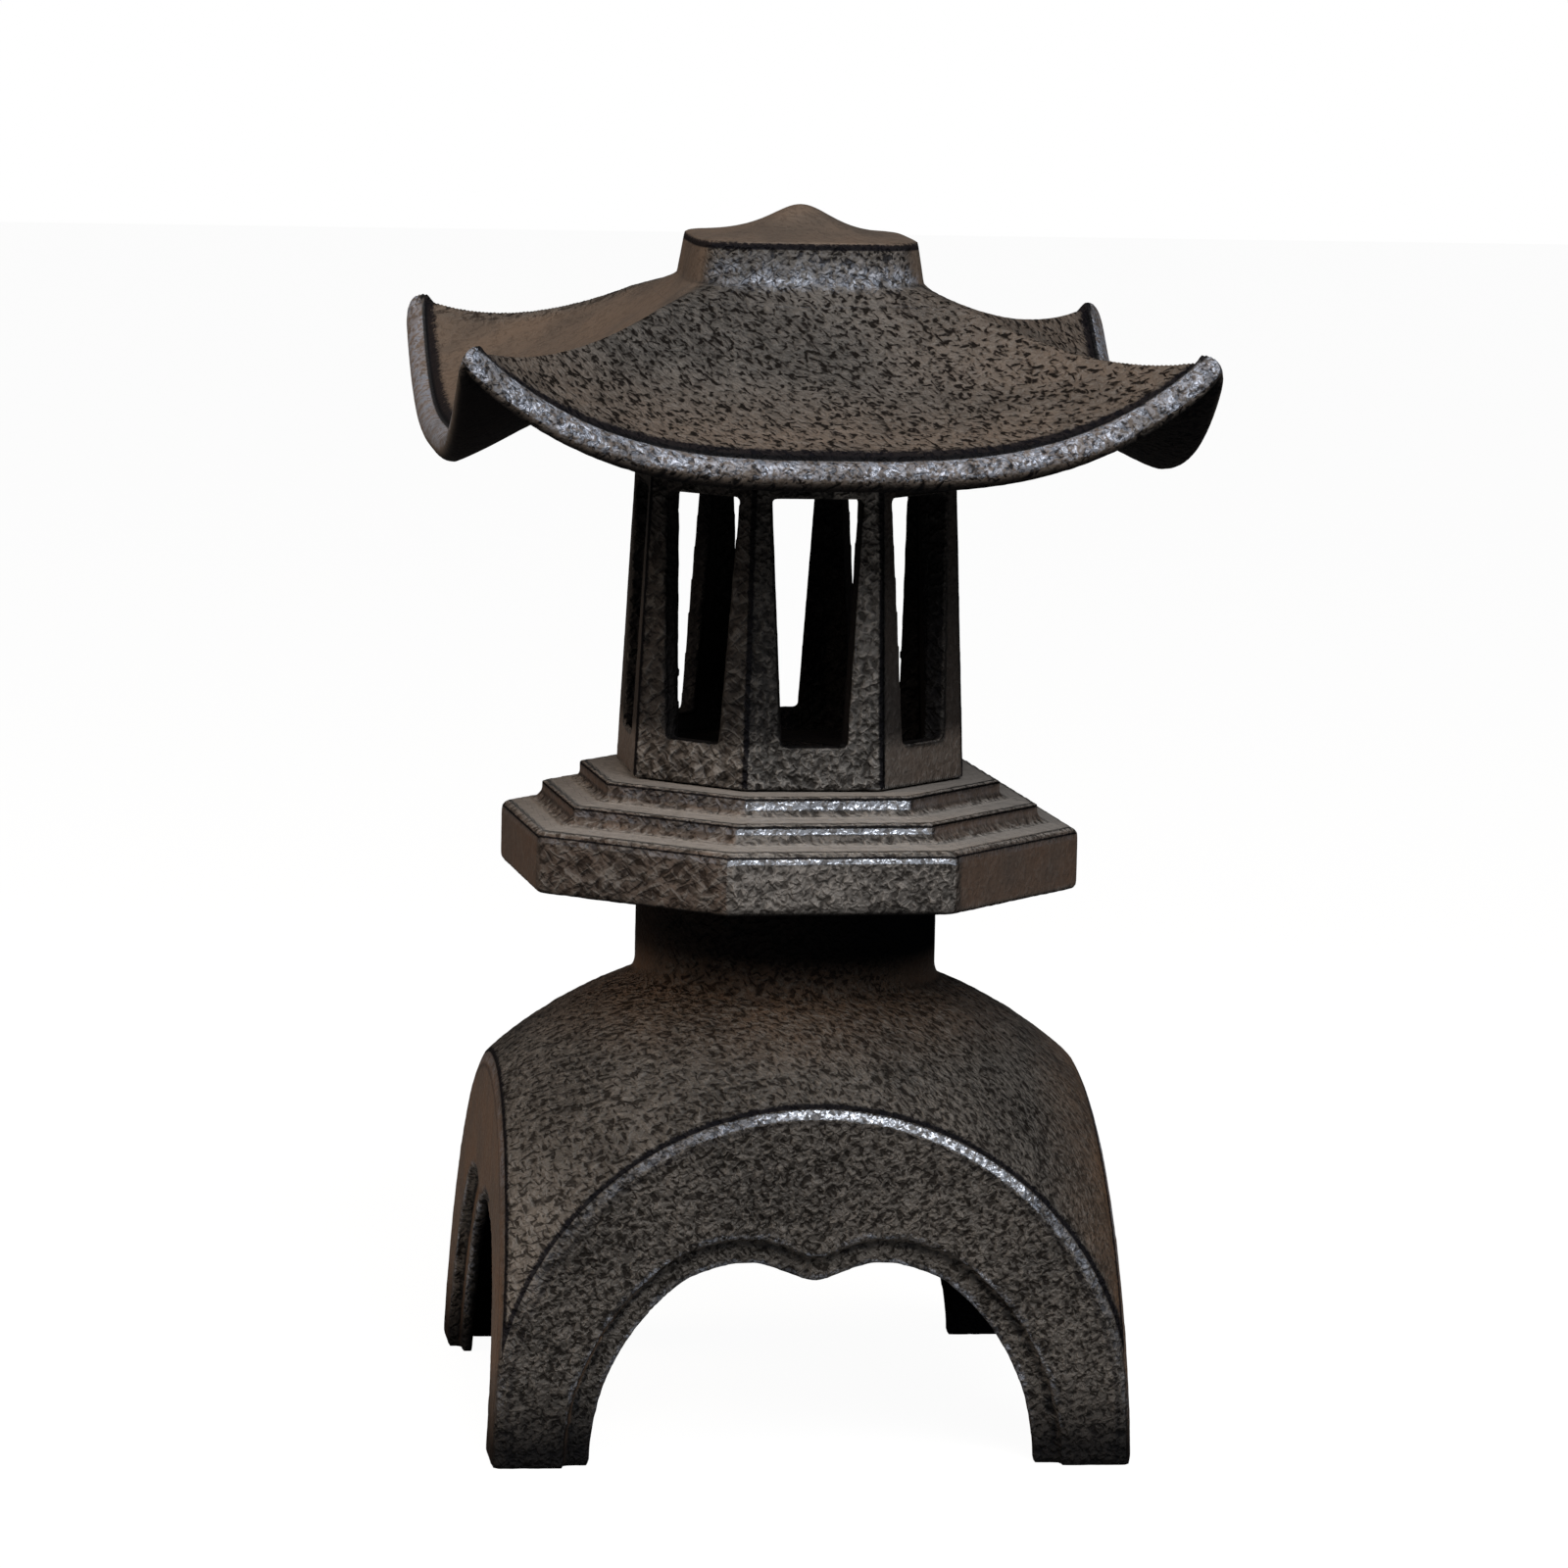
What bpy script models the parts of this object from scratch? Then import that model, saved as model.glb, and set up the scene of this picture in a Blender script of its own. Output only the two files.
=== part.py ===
"""Garden lantern of cast iron in the snow-viewing style, for one tea light.

Four castings stand on each other: an arched base on four feet, an eight-sided deck, an eight-sided
fire box with slender posts, and a square roof with upturned corners. One bolt clamps the base, the
deck and the fire box together. The roof is a loose lid that is lifted off to put the tea light in.
Units are metres, +Z is up, and the origin is on the ground at the middle of the base.
"""

import bmesh
import bpy
from math import atan, cos, inf, pi, radians, sin, sqrt, tan
from mathutils import Matrix, Vector

# General
SEAT_GAP = 0.0003        # clearance between pieces that touch
WALL = 0.0050            # thickness of the base, deck and roof castings

# Base: a domed shell cut by four slightly leaning faces, each with a cusped arch
FOOT_HALF = 0.0651       # half the width over the feet, at the ground
FACE_LEAN = radians(3.0)
DOME_RADIUS = 0.0915
DOME_CENTRE = 0.0044     # height of the dome's centre
NECK_RADIUS = 0.0312
NECK_TOP = 0.1117
NECK_FILLET = 0.0045
ARCH_RADIUS = 0.0450     # opening, measured from the arch's centre
ARCH_CENTRE = 0.0008     # height of the arch's centre
LOBE_CROWN = 0.0409      # height of each of the two lobes at the top of the opening
LOBE_CUSP = 0.0372       # height of the point between the lobes
LOBE_REACH = 0.0135      # from the point to a lobe's crown
RIM_WIDTH = 0.0054       # sunk rim round the opening
RIM_DEPTH = 0.0024

# Deck: three eight-sided steps with sloping treads, hollow below; radii are to the corners
DECK_TURN = radians(4.2)   # how far the deck is turned on the base
SLAB_RADIUS = 0.0613
SLAB_HEIGHT = 0.0114
SKIRT_DROP = 0.0012      # by which the slab's lower edge hangs below the top of the neck
MIDDLE_RADIUS = 0.0525
MIDDLE_HEIGHT = 0.0048
MIDDLE_RISER = 0.0021    # upright part of the step; the rest of its height is the tread's slope
TOP_STEP_RADIUS = 0.0445
TOP_STEP_HEIGHT = 0.0046
TOP_STEP_RISER = 0.0028

# Fire box: eight tapering sides with a window in each; radii are to the corners
BOX_TURN = radians(1.5)  # how far the box is turned on the base
BOX_FOOT_RADIUS = 0.0371
BOX_HEAD_RADIUS = 0.0340
BOX_HEIGHT = 0.0669
BOX_WALL = 0.0042
SILL_HEIGHT = 0.0087
HEAD_BAND = 0.0078       # between a window and the box's top
WINDOW_FOOT_WIDTH = 0.0138
WINDOW_HEAD_WIDTH = 0.0200
REVEAL_DRAFT = radians(11)  # by which each side of a window closes in towards the inside
FLOOR_THICKNESS = 0.0043
CUP_BORE = 0.0095        # radius of the pocket that hides the bolt's head
CUP_DEPTH = 0.0070

# Roof: heights are above the seat on the fire box, slopes are rise over run
EAVE_HALF = 0.0757
EAVE_THICKNESS = 0.0061  # measured straight down
EAVE_TOP = 0.0034        # middle of an eave
TIP_TOP = 0.0254         # upturned corner
EAVE_SLOPE = 0.32
TIP_SLOPE = -0.40
CURL_POWER = 3.1         # how late an eave starts to rise towards its corners
COLLAR_HALF = 0.0242     # at its foot
COLLAR_DRAFT = 0.0014    # drawn in at its top
COLLAR_FOOT = 0.0345
COLLAR_HEIGHT = 0.0087
COLLAR_POWER = 5         # squareness of the collar's rounded corners
FACE_SLOPE = 0.95        # of a face's middle where it meets the collar
HIP_SLOPE = 0.56         # of a hip where it meets the collar
CAP_HEIGHT = 0.0065
CAP_SPREAD = 0.40        # width of the cap's peak as a share of the cap
SEAT_WIDTH = 0.0048
LIP_HEIGHT = 0.0040
LIP_WIDTH = 0.0035
LIP_CLEARANCE = 0.0012   # the lip drops loosely into the fire box

# Fastening: M6 hexagon bolt, nut and washers
BOLT_RADIUS = 0.0030
BOLT_END = 0.0030        # what the bolt sticks out below the nut
BOLT_HEAD_HEIGHT = 0.0040
HEX_FLATS = 0.0100       # across the flats of the head and of the nut
NUT_HEIGHT = 0.0050
WASHER_RADIUS = 0.0060
WASHER_THICKNESS = 0.0016
HOLE_CLEARANCE = 0.0005  # round the bolt in the castings

# Fineness of the faceted solids
ROUND_STEPS = 48
SMALL_STEPS = 24
SIDE_STEPS = 10          # points along one side of the roof

IRON = (0.060, 0.046, 0.038)
STEEL = (0.330, 0.320, 0.300)

# Levels and radii that follow from the sizes above
OCTAGON = cos(pi / 8)    # flat-to-centre over corner-to-centre
DECK_FOOT = NECK_TOP + SEAT_GAP
SLAB_TOP = DECK_FOOT + SLAB_HEIGHT
MIDDLE_TOP = SLAB_TOP + MIDDLE_HEIGHT
DECK_TOP = MIDDLE_TOP + TOP_STEP_HEIGHT
BOX_FOOT = DECK_TOP + SEAT_GAP
BOX_FLOOR = BOX_FOOT + FLOOR_THICKNESS
BOX_TOP = BOX_FOOT + BOX_HEIGHT
ROOF_SEAT = BOX_TOP + SEAT_GAP
WINDOW_HEIGHT = BOX_HEIGHT - SILL_HEIGHT - HEAD_BAND
BOX_HEAD_BORE = BOX_HEAD_RADIUS * OCTAGON - BOX_WALL
CUP_FLOOR = BOX_FLOOR - CUP_DEPTH
CUP_RADIUS = CUP_BORE + BOX_WALL
BOLT_HOLE = BOLT_RADIUS + HOLE_CLEARANCE


def collection(name):
    made = bpy.data.collections.new(name)
    bpy.context.scene.collection.children.link(made)
    return made


def material(name, colour, roughness, metallic):
    made = bpy.data.materials.new(name)
    made.use_nodes = True
    shader = made.node_tree.nodes["Principled BSDF"]
    shader.inputs["Base Color"].default_value = (*colour, 1.0)
    shader.inputs["Roughness"].default_value = roughness
    shader.inputs["Metallic"].default_value = metallic
    return made


def add_object(name, mesh, where):
    made = bpy.data.objects.new(name, mesh)
    where.objects.link(made)
    return made


def iron_piece(name, mesh):
    made = add_object(name, mesh, LANTERN)
    mesh.materials.append(material(f"{name}_iron", IRON, 0.5, 0.85))
    return made


def steel_piece(name, mesh):
    made = add_object(name, mesh, LANTERN)
    mesh.materials.append(material(f"{name}_steel", STEEL, 0.4, 1.0))
    return made


def mesh_from(bm, name):
    mesh = bpy.data.meshes.new(name)
    bm.to_mesh(mesh)
    bm.free()
    return mesh


def rounded(mesh):
    """Shades the curved faces smooth and keeps the arrises sharp."""
    mesh.shade_smooth()
    mesh.set_sharp_from_angle(angle=radians(40))
    return mesh


def tool(name, mesh):
    """A solid that only cuts, trims or joins another."""
    made = add_object(name, mesh, TOOLS)
    made.hide_render = True
    made.display_type = "WIRE"
    return made


def combine(target, other, operation):
    change = target.modifiers.new(other.name, "BOOLEAN")
    change.operation = operation
    change.object = other
    change.solver = "EXACT"


def turned_mesh(name, profile, closed):
    """A profile of (radius, height) points, to be spun by spin()."""
    mesh = bpy.data.meshes.new(name)
    count = len(profile)
    edges = [(i, (i + 1) % count) for i in range(count if closed else count - 1)]
    mesh.from_pydata([(r, 0.0, z) for r, z in profile], edges, [])
    return mesh


def spin(made, steps):
    change = made.modifiers.new("turn", "SCREW")
    change.steps = steps
    change.render_steps = steps
    change.use_merge_vertices = True
    change.merge_threshold = 0.00001
    change.use_smooth_shade = steps > 8


def eight_sided(made, turn):
    """Spins a profile with eight flats, one of them facing the front before the turn."""
    spin(made, 8)
    made.rotation_euler.z = pi / 8 + turn


def cylinder(name, radius, low, high, steps=ROUND_STEPS):
    bm = bmesh.new()
    bmesh.ops.create_cone(bm, cap_ends=True, segments=steps, radius1=radius, radius2=radius, depth=high - low)
    bmesh.ops.translate(bm, verts=bm.verts, vec=(0, 0, (low + high) / 2))
    return rounded(mesh_from(bm, name))


def arc(centre_r, centre_z, radius, start, end, steps):
    """Points of an arc in the profile plane, angles in degrees."""
    angles = [radians(start + (end - start) * i / steps) for i in range(steps + 1)]
    return [(centre_r + radius * cos(a), centre_z + radius * sin(a)) for a in angles]


# Base

def face_block(name, inset):
    """The four leaning faces as a tapering block, drawn in by inset."""
    height = DOME_CENTRE + DOME_RADIUS
    foot = FOOT_HALF - inset / cos(FACE_LEAN)
    head = foot - height * tan(FACE_LEAN)
    bm = bmesh.new()
    bmesh.ops.create_cone(
        bm, cap_ends=True, segments=4, radius1=foot * sqrt(2), radius2=head * sqrt(2), depth=height
    )
    bmesh.ops.rotate(bm, verts=bm.verts, matrix=Matrix.Rotation(pi / 4, 3, "Z"))
    bmesh.ops.translate(bm, verts=bm.verts, vec=(0, 0, height / 2))
    return mesh_from(bm, name)


def dome(name, inset):
    bm = bmesh.new()
    bmesh.ops.create_uvsphere(
        bm, u_segments=ROUND_STEPS, v_segments=ROUND_STEPS // 2, radius=DOME_RADIUS - inset
    )
    bmesh.ops.translate(bm, verts=bm.verts, vec=(0, 0, DOME_CENTRE))
    return rounded(mesh_from(bm, name))


def arch_outline(grow):
    """The opening's edge from its right foot over both lobes to its left foot, widened by grow."""
    radius = ARCH_RADIUS + grow
    crown = LOBE_CROWN + grow
    cusp = LOBE_CUSP + grow
    shoulder = sqrt(radius ** 2 - (crown - ARCH_CENTRE) ** 2)
    join = max(shoulder, LOBE_REACH) * 1.25
    right = []
    steps = 12
    start = atan(-ARCH_CENTRE / radius)
    end = atan(sqrt(radius ** 2 - join ** 2) / join)
    for i in range(steps + 1):
        angle = start + (end - start) * i / steps
        right.append((radius * cos(angle), ARCH_CENTRE + radius * sin(angle)))
    join_height = right[-1][1]
    for i in range(1, 5):
        share = i / 4
        x = join + (LOBE_REACH - join) * share
        right.append((x, join_height + (crown - join_height) * sin(share * pi / 2)))
    for i in range(1, 6):
        share = 1 - i / 5
        right.append((LOBE_REACH * share, cusp + (crown - cusp) * sin(share * pi / 2) ** 1.5))
    left = [(-x, z) for x, z in reversed(right[:-1])]
    return right + left


def arch_prism(name, grow, back, front):
    """The arch's outline drawn out along -Y from back to front, open to below the ground."""
    outline = arch_outline(grow)
    below = -0.010
    outline = [(outline[0][0], below)] + outline + [(outline[-1][0], below)]
    bm = bmesh.new()
    face = bm.faces.new([bm.verts.new((x, -back, z)) for x, z in outline])
    grown = bmesh.ops.extrude_face_region(bm, geom=[face])
    moved = [v for v in grown["geom"] if isinstance(v, bmesh.types.BMVert)]
    bmesh.ops.translate(bm, verts=moved, vec=(0, back - front, 0))
    bmesh.ops.recalc_face_normals(bm, faces=bm.faces)
    return mesh_from(bm, name)


def neck_mesh():
    """Neck with its flare, turned about the axis and sunk into the dome."""
    flare = NECK_RADIUS + NECK_FILLET
    meet = DOME_CENTRE + sqrt(DOME_RADIUS ** 2 - flare ** 2)
    fillet = arc(flare, meet + NECK_FILLET, NECK_FILLET, 180, 270, 4)
    foot = meet - WALL / 2
    profile = [(0, NECK_TOP), (NECK_RADIUS, NECK_TOP)] + fillet
    profile += [(flare, foot), (0, foot)]
    return turned_mesh("neck", profile, False)


def make_base():
    base = iron_piece("base", face_block("base", 0))
    combine(base, tool("dome_outside", dome("dome_outside", 0)), "INTERSECT")
    neck = tool("neck", neck_mesh())
    spin(neck, ROUND_STEPS)
    combine(base, neck, "UNION")

    hollow = tool("base_hollow", face_block("base_hollow", WALL))
    hollow.data.transform(Matrix.Translation((0, 0, -WALL * tan(FACE_LEAN))))
    combine(hollow, tool("dome_inside", dome("dome_inside", WALL)), "INTERSECT")
    combine(base, hollow, "DIFFERENCE")
    bore = cylinder("neck_bore", NECK_RADIUS - WALL, DOME_CENTRE, NECK_TOP - WALL)
    combine(base, tool("neck_bore", bore), "DIFFERENCE")
    hole = cylinder("neck_hole", BOLT_HOLE, NECK_TOP - 2 * WALL, NECK_TOP + WALL, SMALL_STEPS)
    combine(base, tool("neck_hole", hole), "DIFFERENCE")

    for k in range(2):
        through = tool(f"arch_{k}", arch_prism(f"arch_{k}", 0, -2 * FOOT_HALF, 2 * FOOT_HALF))
        through.rotation_euler.z = k * pi / 2
        combine(base, through, "DIFFERENCE")
    for k in range(4):
        front = FOOT_HALF / cos(FACE_LEAN)
        rim = tool(f"rim_{k}", arch_prism(f"rim_{k}", RIM_WIDTH, FOOT_HALF - RIM_DEPTH, 2 * front))
        lean = Matrix.Translation((0, -FOOT_HALF, 0)) @ Matrix.Rotation(-FACE_LEAN, 4, "X")
        rim.data.transform(lean @ Matrix.Translation((0, FOOT_HALF, 0)))
        rim.rotation_euler.z = k * pi / 2
        combine(base, rim, "DIFFERENCE")


# Deck

def make_deck():
    """Three steps with a hollow below that leaves a ring where the neck carries the deck."""
    wall = WALL / OCTAGON
    skirt = SLAB_RADIUS - wall
    shelf = MIDDLE_RADIUS - wall
    core = TOP_STEP_RADIUS - wall
    skirt_foot = DECK_FOOT - SKIRT_DROP
    profile = [
        (0, DECK_TOP),
        (TOP_STEP_RADIUS, DECK_TOP),
        (TOP_STEP_RADIUS, DECK_TOP - TOP_STEP_RISER),
        (MIDDLE_RADIUS, MIDDLE_TOP),
        (MIDDLE_RADIUS, MIDDLE_TOP - MIDDLE_RISER),
        (SLAB_RADIUS, SLAB_TOP),
        (SLAB_RADIUS, skirt_foot),
        (skirt, skirt_foot),
        (skirt, SLAB_TOP - WALL),
        (shelf, SLAB_TOP - WALL),
        (shelf, MIDDLE_TOP - WALL),
        (core, MIDDLE_TOP - WALL),
        (core, DECK_TOP - WALL),
        (0, DECK_TOP - WALL),
    ]
    deck = iron_piece("deck", turned_mesh("deck", profile, False))
    eight_sided(deck, DECK_TURN)
    inner = NECK_RADIUS - WALL
    ring = [
        (NECK_RADIUS, DECK_TOP - WALL / 2),
        (NECK_RADIUS, DECK_FOOT),
        (inner, DECK_FOOT),
        (inner, DECK_TOP - WALL / 2),
    ]
    seat = tool("deck_seat", turned_mesh("deck_seat", ring, True))
    spin(seat, ROUND_STEPS)
    combine(deck, seat, "UNION")
    hole = cylinder("deck_hole", CUP_RADIUS + HOLE_CLEARANCE, DECK_FOOT, DECK_TOP + WALL)
    combine(deck, tool("deck_hole", hole), "DIFFERENCE")


# Fire box

def window_cutter(name, turn):
    """A window that widens upwards and outwards."""
    low = BOX_FOOT + SILL_HEIGHT
    face = BOX_FOOT_RADIUS * OCTAGON
    bm = bmesh.new()
    bmesh.ops.create_cube(bm, size=2)
    for v in bm.verts:
        upper = v.co.z > 0
        width = WINDOW_HEAD_WIDTH if upper else WINDOW_FOOT_WIDTH
        reach = face + 2 * BOX_WALL * -v.co.y
        v.co.x *= width / 2 + (reach - face) * tan(REVEAL_DRAFT)
        v.co.y = -reach
        v.co.z = low + WINDOW_HEIGHT * upper
    cutter = tool(name, mesh_from(bm, name))
    cutter.rotation_euler.z = turn
    return cutter


def make_fire_box():
    """Eight tapering sides on a floor, open at the top, with a cup for the bolt's head."""
    wall = BOX_WALL / OCTAGON
    taper = (BOX_FOOT_RADIUS - BOX_HEAD_RADIUS) / BOX_HEIGHT
    floor_radius = BOX_FOOT_RADIUS - FLOOR_THICKNESS * taper - wall
    profile = [
        (BOX_HEAD_RADIUS - wall, BOX_TOP),
        (BOX_HEAD_RADIUS, BOX_TOP),
        (BOX_FOOT_RADIUS, BOX_FOOT),
        (0, BOX_FOOT),
    ]
    profile = [(0, BOX_FLOOR), (floor_radius, BOX_FLOOR)] + profile
    box = iron_piece("fire_box", turned_mesh("fire_box", profile, False))
    eight_sided(box, BOX_TURN)
    cup = cylinder("cup", CUP_RADIUS, CUP_FLOOR - BOX_WALL, BOX_FOOT + FLOOR_THICKNESS / 2)
    combine(box, tool("cup", cup), "UNION")
    pocket = cylinder("cup_pocket", CUP_BORE, CUP_FLOOR, BOX_FLOOR + WALL)
    combine(box, tool("cup_pocket", pocket), "DIFFERENCE")
    hole = cylinder("cup_hole", BOLT_HOLE, CUP_FLOOR - 2 * BOX_WALL, BOX_FLOOR, SMALL_STEPS)
    combine(box, tool("cup_hole", hole), "DIFFERENCE")
    for k in range(8):
        combine(box, window_cutter(f"window_{k}", BOX_TURN + k * pi / 4), "DIFFERENCE")


# Roof

def hermite(share, start, end, start_slope, end_slope):
    """A smooth curve between two heights, with the slopes given per unit of share."""
    s2 = share ** 2
    s3 = share ** 3
    return (
        (2 * s3 - 3 * s2 + 1) * start
        + (s3 - 2 * s2 + share) * start_slope
        + (3 * s2 - 2 * s3) * end
        + (s3 - s2) * end_slope
    )


def ring_points(half, power, middle, corner):
    """One closed ring round the roof, rising from the middle of each side to its corners.

    Power 2 makes it a circle, 5 a square with rounded corners and infinity a true square.
    """
    points = []
    for side in range(4):
        turn = Matrix.Rotation(side * pi / 2, 3, "Z")
        for i in range(SIDE_STEPS):
            along = -1 + 2 * i / SIDE_STEPS
            reach = half / (1 + abs(along) ** power) ** (1 / power)
            height = ROOF_SEAT + middle + (corner - middle) * abs(along) ** CURL_POWER
            points.append(turn @ Vector((reach, reach * along, height)))
    return points


def roof_rings(wall, drop):
    """Rings from the eave up the curved faces, over the collar and onto the cap.

    The outer skin has no wall and no drop; the inner skin lies a drop below the slopes and a wall
    inside the collar and the cap.
    """
    run = EAVE_HALF - COLLAR_HALF
    rings = []
    slope_steps = 8
    for i in range(slope_steps):
        share = i / slope_steps
        middle = hermite(share, EAVE_TOP, COLLAR_FOOT, EAVE_SLOPE * run, FACE_SLOPE * run)
        hip = hermite(share, TIP_TOP, COLLAR_FOOT, TIP_SLOPE * run, HIP_SLOPE * run)
        rings.append(ring_points(EAVE_HALF - run * share, inf, middle - drop, hip - drop))
    collar_foot = COLLAR_FOOT - drop
    collar_top = COLLAR_FOOT + COLLAR_HEIGHT - wall
    top_half = COLLAR_HALF - COLLAR_DRAFT - wall
    rings.append(ring_points(COLLAR_HALF - wall, COLLAR_POWER, collar_foot, collar_foot))
    rings.append(ring_points(top_half, COLLAR_POWER, collar_top, collar_top))
    edge = 1 / (1 + (1 / CAP_SPREAD) ** 2)
    cap_steps = 5
    for i in range(1, cap_steps):
        share = 1 - i / cap_steps
        peak = 1 / (1 + (share / CAP_SPREAD) ** 2)
        level = collar_top + CAP_HEIGHT * (peak - edge) / (1 - edge)
        rings.append(ring_points(top_half * share, 2 + (COLLAR_POWER - 2) * share, level, level))
    return rings


def loft(name, rings, peaks):
    """A closed body through the rings, ending in a peak at each end that has one."""
    bm = bmesh.new()
    rows = [[bm.verts.new(point) for point in ring] for ring in rings]
    count = len(rows[0])
    for lower, upper in zip(rows, rows[1:]):
        for i in range(count):
            j = (i + 1) % count
            bm.faces.new((lower[i], lower[j], upper[j], upper[i]))
    for row, level in ((rows[0], peaks[0]), (rows[-1], peaks[1])):
        if level is None:
            bm.faces.new(row)
        else:
            peak = bm.verts.new((0, 0, ROOF_SEAT + level))
            for i in range(count):
                bm.faces.new((row[i], row[(i + 1) % count], peak))
    bmesh.ops.recalc_face_normals(bm, faces=bm.faces)
    return rounded(mesh_from(bm, name))


def make_roof():
    """A curved shell with a round seat below, whose lip drops into the fire box."""
    outer = roof_rings(0, 0)
    inner = roof_rings(WALL, EAVE_THICKNESS)
    apex = COLLAR_FOOT + COLLAR_HEIGHT + CAP_HEIGHT
    shell = loft("roof", list(reversed(inner)) + outer, (apex - WALL, apex))
    roof = iron_piece("roof", shell)

    lip = BOX_HEAD_BORE - LIP_CLEARANCE
    seat = lip + SEAT_WIDTH
    bore = lip - LIP_WIDTH
    ring = [
        (seat, ROOF_SEAT + apex),
        (seat, ROOF_SEAT),
        (lip, ROOF_SEAT),
        (lip, ROOF_SEAT - LIP_HEIGHT),
        (bore, ROOF_SEAT - LIP_HEIGHT),
        (bore, ROOF_SEAT + apex),
    ]
    neck = tool("roof_seat", turned_mesh("roof_seat", ring, True))
    spin(neck, ROUND_STEPS)
    skin = roof_rings(WALL / 2, EAVE_THICKNESS / 2)
    foot = [Vector((v.x, v.y, ROOF_SEAT - 2 * LIP_HEIGHT)) for v in skin[0]]
    trim = tool("roof_trim", loft("roof_trim", [foot] + skin, (None, apex - WALL / 2)))
    combine(neck, trim, "INTERSECT")
    combine(roof, neck, "UNION")


# Fastening

def hexagon(name, low, high):
    return cylinder(name, HEX_FLATS / 2 / cos(pi / 6), low, high, 6)


def washer(name, top):
    """A plain washer below the level top."""
    bore = BOLT_RADIUS + SEAT_GAP
    foot = top - WASHER_THICKNESS
    profile = [(WASHER_RADIUS, top), (WASHER_RADIUS, foot), (bore, foot), (bore, top)]
    made = steel_piece(name, turned_mesh(name, profile, True))
    spin(made, SMALL_STEPS)


def make_fastening():
    """Bolt down through the cup, the deck and the neck, with a washer at each end and the nut below."""
    head_foot = CUP_FLOOR + WASHER_THICKNESS + 2 * SEAT_GAP
    washer("head_washer", head_foot - SEAT_GAP)
    ceiling = NECK_TOP - WALL
    washer("nut_washer", ceiling - SEAT_GAP)
    nut_top = ceiling - WASHER_THICKNESS - 2 * SEAT_GAP
    nut_foot = nut_top - NUT_HEIGHT

    bolt = steel_piece("tie_bolt", hexagon("tie_bolt", head_foot, head_foot + BOLT_HEAD_HEIGHT))
    shank = cylinder("shank", BOLT_RADIUS, nut_foot - BOLT_END, head_foot + BOLT_HEAD_HEIGHT / 2, SMALL_STEPS)
    combine(bolt, tool("shank", shank), "UNION")

    nut = steel_piece("tie_nut", hexagon("tie_nut", nut_foot, nut_top))
    bore = cylinder("nut_bore", BOLT_RADIUS + SEAT_GAP, nut_foot - NUT_HEIGHT, nut_top + NUT_HEIGHT, SMALL_STEPS)
    combine(nut, tool("nut_bore", bore), "DIFFERENCE")


for old in list(bpy.data.objects):
    bpy.data.objects.remove(old)

LANTERN = collection("garden_lantern")
TOOLS = collection("cutters")

make_base()
make_deck()
make_fire_box()
make_roof()
make_fastening()
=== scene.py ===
from math import atan, cos, pi, radians, sin, sqrt, tan

import bpy
import numpy as np
from mathutils import Matrix, Vector


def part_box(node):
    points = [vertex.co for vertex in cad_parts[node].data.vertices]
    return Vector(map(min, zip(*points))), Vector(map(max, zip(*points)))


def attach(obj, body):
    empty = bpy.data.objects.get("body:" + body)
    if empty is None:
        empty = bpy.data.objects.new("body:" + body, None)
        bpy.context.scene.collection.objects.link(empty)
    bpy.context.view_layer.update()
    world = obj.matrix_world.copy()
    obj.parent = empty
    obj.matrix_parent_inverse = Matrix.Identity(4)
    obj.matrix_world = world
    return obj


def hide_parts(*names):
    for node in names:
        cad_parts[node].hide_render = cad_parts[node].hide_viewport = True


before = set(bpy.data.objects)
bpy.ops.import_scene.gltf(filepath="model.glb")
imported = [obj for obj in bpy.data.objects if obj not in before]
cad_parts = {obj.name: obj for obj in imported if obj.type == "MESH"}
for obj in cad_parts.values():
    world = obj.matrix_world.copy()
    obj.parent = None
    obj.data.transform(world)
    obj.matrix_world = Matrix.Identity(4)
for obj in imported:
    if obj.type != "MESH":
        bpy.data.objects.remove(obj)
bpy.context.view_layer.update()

# Stage: the lantern stands on a wide pale board under three soft square lamps, before a white
# backdrop. The eye is a little left of the front and a little above the deck.

bpy.ops.object.select_all(action="DESELECT")

EYE_AZIMUTH = radians(-7.1017)
EYE_HEIGHT = radians(7.8068)
EYE_ROLL = radians(1.2566)
EYE_DISTANCE = 1.50403
EYE_TARGET = Vector((0, 0, 0.132135))
EYE_SHIFT_LEFT = 0.0008956
EYE_SHIFT_DOWN = 0.0023376
EYE_SENSOR = 36
EYE_LENS = 166.47
SKY_GREY = (0.07, 0.072, 0.075, 1)
BOARD_SIZE = 8
BOARD_GREY = (0.30, 0.297, 0.293, 1)
BOARD_ROUGHNESS = 0.9
BOARD_GLOW = 1.25
GLOW_SHARE = 0.77

back = Vector((
    sin(EYE_AZIMUTH) * cos(EYE_HEIGHT), -cos(EYE_AZIMUTH) * cos(EYE_HEIGHT), sin(EYE_HEIGHT)
))
right = Vector((cos(EYE_AZIMUTH), sin(EYE_AZIMUTH), 0))
up = back.cross(right)
place = EYE_TARGET + EYE_DISTANCE * back - EYE_SHIFT_LEFT * right - EYE_SHIFT_DOWN * up
across = cos(EYE_ROLL) * right + sin(EYE_ROLL) * up
upwards = cos(EYE_ROLL) * up - sin(EYE_ROLL) * right
bpy.ops.object.camera_add()
eye = bpy.context.object
eye.name = "eye"
eye.matrix_world = Matrix((
    (across.x, upwards.x, back.x, place.x),
    (across.y, upwards.y, back.y, place.y),
    (across.z, upwards.z, back.z, place.z),
    (0, 0, 0, 1),
))
eye.data.sensor_width = EYE_SENSOR
eye.data.lens = EYE_LENS
bpy.context.scene.camera = eye
bpy.context.scene.view_settings.view_transform = "Standard"


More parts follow.
